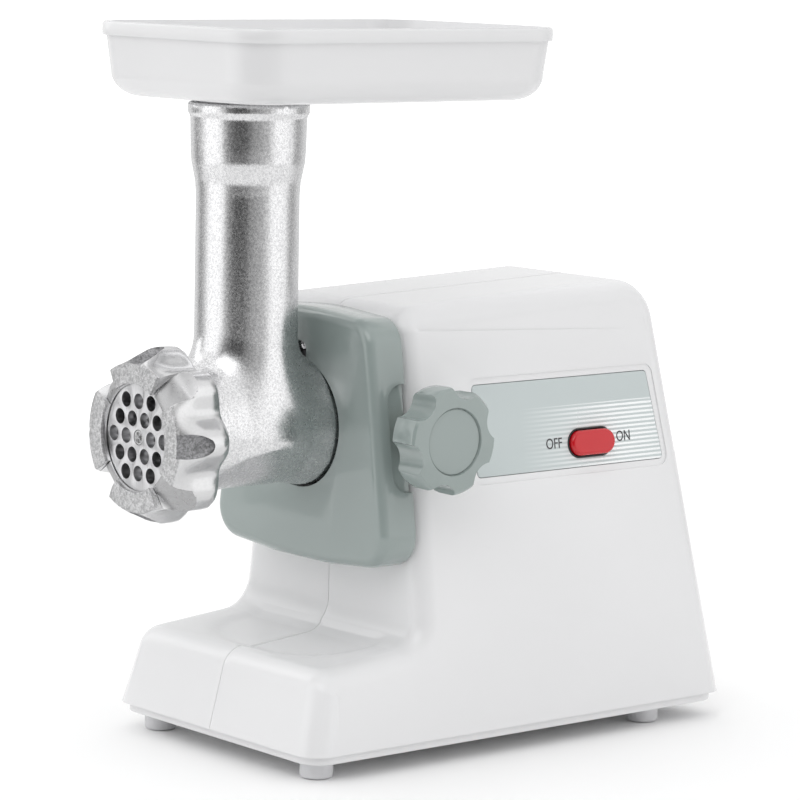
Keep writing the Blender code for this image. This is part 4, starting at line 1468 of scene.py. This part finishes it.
@dataclass
class Knob:
    """The scalloped clamp knob with its sunk cap and steel stud."""

    datum: Datum
    looks: Finishes
    radius: float = 0.0246
    lobes: int = 6

    def grooves(self) -> bpy.types.Object:
        """The finger grooves' tool: round bars beside the rim.

        Returns:
            The tool.
        """
        profile = [(0, 0.010), (0.0088, 0.010), (0.0088, -0.0145), (0, -0.0145)]
        start = math.radians(16)
        shift = Matrix.Translation((math.cos(start) * 0.0283, math.sin(start) * 0.0283, 0.0800))
        bar = lathe("groove", profile[::-1], shift, 48)
        return Repeater(self.looks).lay_out(bar, self.frame(), self.lobes, turn=FULL_TURN / self.lobes)

    def frame(self) -> Matrix:
        """The knob's axis: its own X points to +Y, and its Z to +X."""
        where = self.datum.place(0, KNOB_Y, self.datum.auger_z)
        return at(where, Axis.SIDEWAYS, QUARTER_TURN)

    def build(self) -> None:
        """Makes the grip, cap and stud."""
        frame = self.frame()
        body = [(0, 0.0595), (0.0100, 0.0595), (0.0108, 0.0602), (0.0112, 0.0700), (0.0226, 0.0704),
                (0.0239, 0.0716), (0.0245, 0.0745), (self.radius, 0.0835), (0.0242, 0.0852),
                (0.0232, 0.0862), (0.0216, 0.0866), (0, 0.0866)]
        knob = lathe("clamp_knob_skin", body, frame, 160)
        tools = [self.grooves()]
        seat = [(0, 0.0880), (0.0160, 0.0880), (0.0154, 0.0866), (0.0149, 0.0853), (0, 0.0853)]
        tools.append(lathe("seat", seat[::-1], frame, 96))
        bore = [(0, 0.0810), (0.0043, 0.0810), (0.0043, 0.0500), (0, 0.0500)]
        tools.append(lathe("bore", bore[::-1], frame, 32))
        combine(knob, tools)
        finish(knob, self.looks["grey_green_gloss"], "knob", ["clamp_knob"], 0.0007, 30)
        cap = [(0, 0.08531), (0.0148, 0.08531), (0.0148, 0.0855), (0.0145, 0.0857), (0, 0.0857)]
        disc = lathe("knob_cap_skin", cap, frame, 96)
        finish(disc, self.looks["grey_green_gloss"], "knob", ["knob_cap"])
        finish(self.stud(frame), self.looks["bright_steel"], "knob", ["knob_stud"])

    def stud(self, frame: Matrix) -> bpy.types.Object:
        """A threaded stud whose profile repeats at the thread's pitch.

        Args:
            frame: the knob's transform.

        Returns:
            The stud.
        """
        profile: list[Point2] = [(0, 0.0291), (0.0030, 0.0291), (0.0036, 0.0297)]
        for k in range(32):
            low = 0.0300 + 0.0015 * k
            profile += [(0.0040, low + 0.0003), (0.0040, low + 0.0006), (0.0034, low + 0.0012)]
        profile += [(0.0040, 0.0796), (0, 0.0796)]
        return lathe("knob_stud_skin", profile, frame, 32)


@dataclass
class KeywayScrew:
    """The cross-head screw that shows in the keyway."""

    datum: Datum
    looks: Finishes

    def build(self) -> None:
        """Makes the screw with its cross recess."""
        z = self.datum.auger_z + 0.0370
        place = at(self.datum.place(0, 0.0352, z), Axis.FORWARD)
        profile = [(0, -0.0100), (0.0018, -0.0100), (0.0018, 0.0), (0.0036, 0.0), (0.0036, 0.0008),
                   (0.0030, 0.0018), (0.0016, 0.0022), (0, 0.0022)]
        screw = lathe("socket_screw_skin", profile, place, 64)
        turned = Matrix.Rotation(math.radians(30), 4, "Z")
        seat = place @ Matrix.Translation((0, 0, 0.0022)) @ turned
        long, thin, deep = 0.0040, 0.0008, 0.0024
        bar = block("cross", (long, thin, deep), seat)
        across = block("across", (thin, long, deep), seat)
        combine(screw, [bar, across])
        finish(screw, self.looks["bright_steel"], "housing", ["socket_screw"])


class Internals:
    """Finishes of the CAD pieces that are kept as they are."""

    KEPT = {
        "auger": "tumbled_casting", "auger_washer": "natural_nylon", "cutting_blade": "ground_steel",
        "head_socket": "black_moulding", "knob_washer": "natural_nylon", "switch_body": "black_moulding",
        "cord_gland": "black_moulding", "gearbox_case": "black_moulding", "gearbox_cover": "black_moulding",
        "output_shaft": "bright_steel", "output_gear": "natural_nylon", "output_bush": "turned_brass",
        "counter_gear": "natural_nylon", "counter_pin": "bright_steel", "motor_pinion": "turned_brass",
        "motor_shaft": "bright_steel", "armature_core": "ground_steel", "front_winding": "copper_winding",
        "rear_winding": "copper_winding", "commutator": "copper_winding", "motor_fan": "black_moulding",
        "stator_core": "ground_steel", "upper_field_coil": "copper_winding",
        "lower_field_coil": "copper_winding", "front_bearing": "bright_steel",
        "rear_bearing": "bright_steel", "motor_bracket": "black_moulding", "left_brush": "black_moulding",
        "right_brush": "black_moulding",
    }

    @classmethod
    def build(cls, nodes: dict[str, bpy.types.Object], looks: Finishes) -> None:
        """Gives each kept node its finish.

        Args:
            nodes: the frame's nodes by name.
            looks: the finishes.
        """
        for name, finish_name in cls.KEPT.items():
            data = nodes[name].data
            if not data.materials:
                data.materials.append(looks[finish_name])
            for slot in nodes[name].material_slots:
                slot.material = looks[finish_name]


# ------------------------------------------------------------------ studio
@dataclass
class Studio:
    """Pale floor, soft lights and the camera.

    bands holds (share of a turn, brightness) stops round the room's walls, and ceiling_rise
    the two heights of view between which the walls give way to the ceiling.
    """

    datum: Datum
    azimuth: float = 50.197
    pitch: float = 7.629
    roll: float = 1.109
    lens: float = 160.09
    stand: tuple[float, float, float] = (1.274326, -0.970295, 0.378426)
    floor_radius: float = 0.95
    bands: tuple[Point2, ...] = (
        (0.0, 0.90), (0.05, 0.30), (0.10, 0.70), (0.14, 1.5), (0.23, 1.5), (0.275, 0.30), (0.32, 0.05),
        (0.38, 0.05), (0.43, 0.34), (0.50, 0.55), (0.56, 1.4), (0.64, 1.3), (0.71, 0.45), (0.80, 0.85),
        (1.0, 0.90))
    ceiling: float = 1.12
    ceiling_rise: Point2 = (0.38, 0.72)
    backdrop: float = 1.3
    strength: float = 0.99

    def floor(self) -> None:
        """A pale round floor that isn't part of the object."""
        bm = bmesh.new()
        bmesh.ops.create_circle(bm, cap_ends=True, segments=96, radius=self.floor_radius)
        floor = mesh_object("floor", bm, Matrix.Translation((0, 0, -0.0002)))
        tree = NodeTree("floor_paper")
        tree.tint(tree.noise(4.0), (0.93, 0.93, 0.93), (0.95, 0.95, 0.95))
        tree.shader.inputs["Roughness"].default_value = 0.9
        floor.data.materials.append(tree.material)

    def camera(self) -> None:
        """The camera at the viewing angle."""
        a, e, r = (math.radians(value) for value in (self.azimuth, self.pitch, self.roll))
        look = Vector((-math.sin(a) * math.cos(e), math.cos(a) * math.cos(e), -math.sin(e)))
        right = Vector((math.cos(a), math.sin(a), 0))
        up = right.cross(look)
        local_x = right * math.cos(r) + up * math.sin(r)
        local_y = up * math.cos(r) - right * math.sin(r)
        turn = Matrix((local_x, local_y, -look)).transposed().to_4x4()
        data = bpy.data.cameras.new("camera")
        data.lens = self.lens
        data.sensor_width = 36.0
        data.clip_end = 50.0
        camera = bpy.data.objects.new("camera", data)
        camera.matrix_world = Matrix.Translation(self.datum.place(*self.stand)) @ turn
        bpy.context.scene.collection.objects.link(camera)
        bpy.context.scene.camera = camera

    def lamp(self, name: str, place: Sequence[float], power: float, size: Sequence[float]) -> None:
        """A soft rectangular light aimed at the machine's middle.

        Args:
            name: the light's name.
            place: where it stands.
            power: its power in watts.
            size: its width and height.
        """
        data = bpy.data.lights.new(name, "AREA")
        data.shape = "RECTANGLE"
        data.size, data.size_y = size
        data.energy = power
        lamp = bpy.data.objects.new(name, data)
        aim = Vector((0, 0, 0.16)) - Vector(place)
        lamp.matrix_world = Matrix.Translation(place) @ aim.to_track_quat("-Z", "Y").to_matrix().to_4x4()
        bpy.context.scene.collection.objects.link(lamp)

    def world(self) -> None:
        """A white room with soft darker bands round its walls, which polished metal mirrors."""
        world = bpy.data.worlds.new("white_room")
        bpy.context.scene.world = world
        world.use_nodes = True
        nodes, links = world.node_tree.nodes, world.node_tree.links
        ground = nodes["Background"]
        coords = nodes.new("ShaderNodeTexCoord")
        split = nodes.new("ShaderNodeSeparateXYZ")
        links.new(coords.outputs["Generated"], split.inputs[0])
        turn = math_output(world.node_tree, "ARCTAN2", split.outputs["Y"], split.outputs["X"])
        share = nodes.new("ShaderNodeMapRange")
        share.inputs["From Min"].default_value = -math.pi
        share.inputs["From Max"].default_value = math.pi
        links.new(turn, share.inputs["Value"])
        ramp = nodes.new("ShaderNodeValToRGB")
        ramp.color_ramp.interpolation = "EASE"
        while len(ramp.color_ramp.elements) < len(self.bands):
            ramp.color_ramp.elements.new(0.5)
        for element, (where, level) in zip(ramp.color_ramp.elements, self.bands):
            element.position = where
            element.color = (level, level, level, 1)
        links.new(share.outputs[0], ramp.inputs[0])
        path = nodes.new("ShaderNodeLightPath")
        height = nodes.new("ShaderNodeMapRange")
        height.interpolation_type = "SMOOTHSTEP"
        height.inputs["From Min"].default_value = self.ceiling_rise[0]
        height.inputs["From Max"].default_value = self.ceiling_rise[1]
        links.new(split.outputs["Z"], height.inputs["Value"])
        tree = world.node_tree
        walls = ramp.outputs["Color"]
        room = mix_output(tree, height.outputs[0], walls, (*[self.ceiling] * 3, 1))
        seen = mix_output(tree, path.outputs["Is Camera Ray"], room, (*[self.backdrop] * 3, 1))
        links.new(seen, ground.inputs["Color"])
        ground.inputs["Strength"].default_value = self.strength

    def build(self) -> None:
        """Sets up the whole studio."""
        bpy.context.scene.view_settings.view_transform = "Standard"
        self.camera()
        self.floor()
        self.world()
        self.lamp("key_light", (0.9, -1.3, 1.5), 6.0, (1.2, 1.2))
        self.lamp("top_light", (-0.2, 0.2, 2.0), 2.5, (1.6, 1.6))
        self.lamp("left_light", (-1.4, -0.6, 0.9), 3.0, (0.5, 1.4))


def main() -> None:
    """Builds the studio and every sub-assembly."""
    logging.basicConfig(level=logging.INFO, format="%(name)s: %(message)s")
    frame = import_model()
    datum = Datum.from_frame()
    looks = Finishes(datum)
    Studio(datum).build()
    Housing(datum, looks).build()
    Panel(datum, looks).build()
    Faceplate(datum, looks).build()
    Head(datum, looks).build()
    GrindingEnd(datum, looks).build()
    Tray(datum, looks).build()
    Knob(datum, looks).build()
    KeywayScrew(datum, looks).build()
    Internals.build(frame["nodes"], looks)


if __name__ == "__main__":
    main()
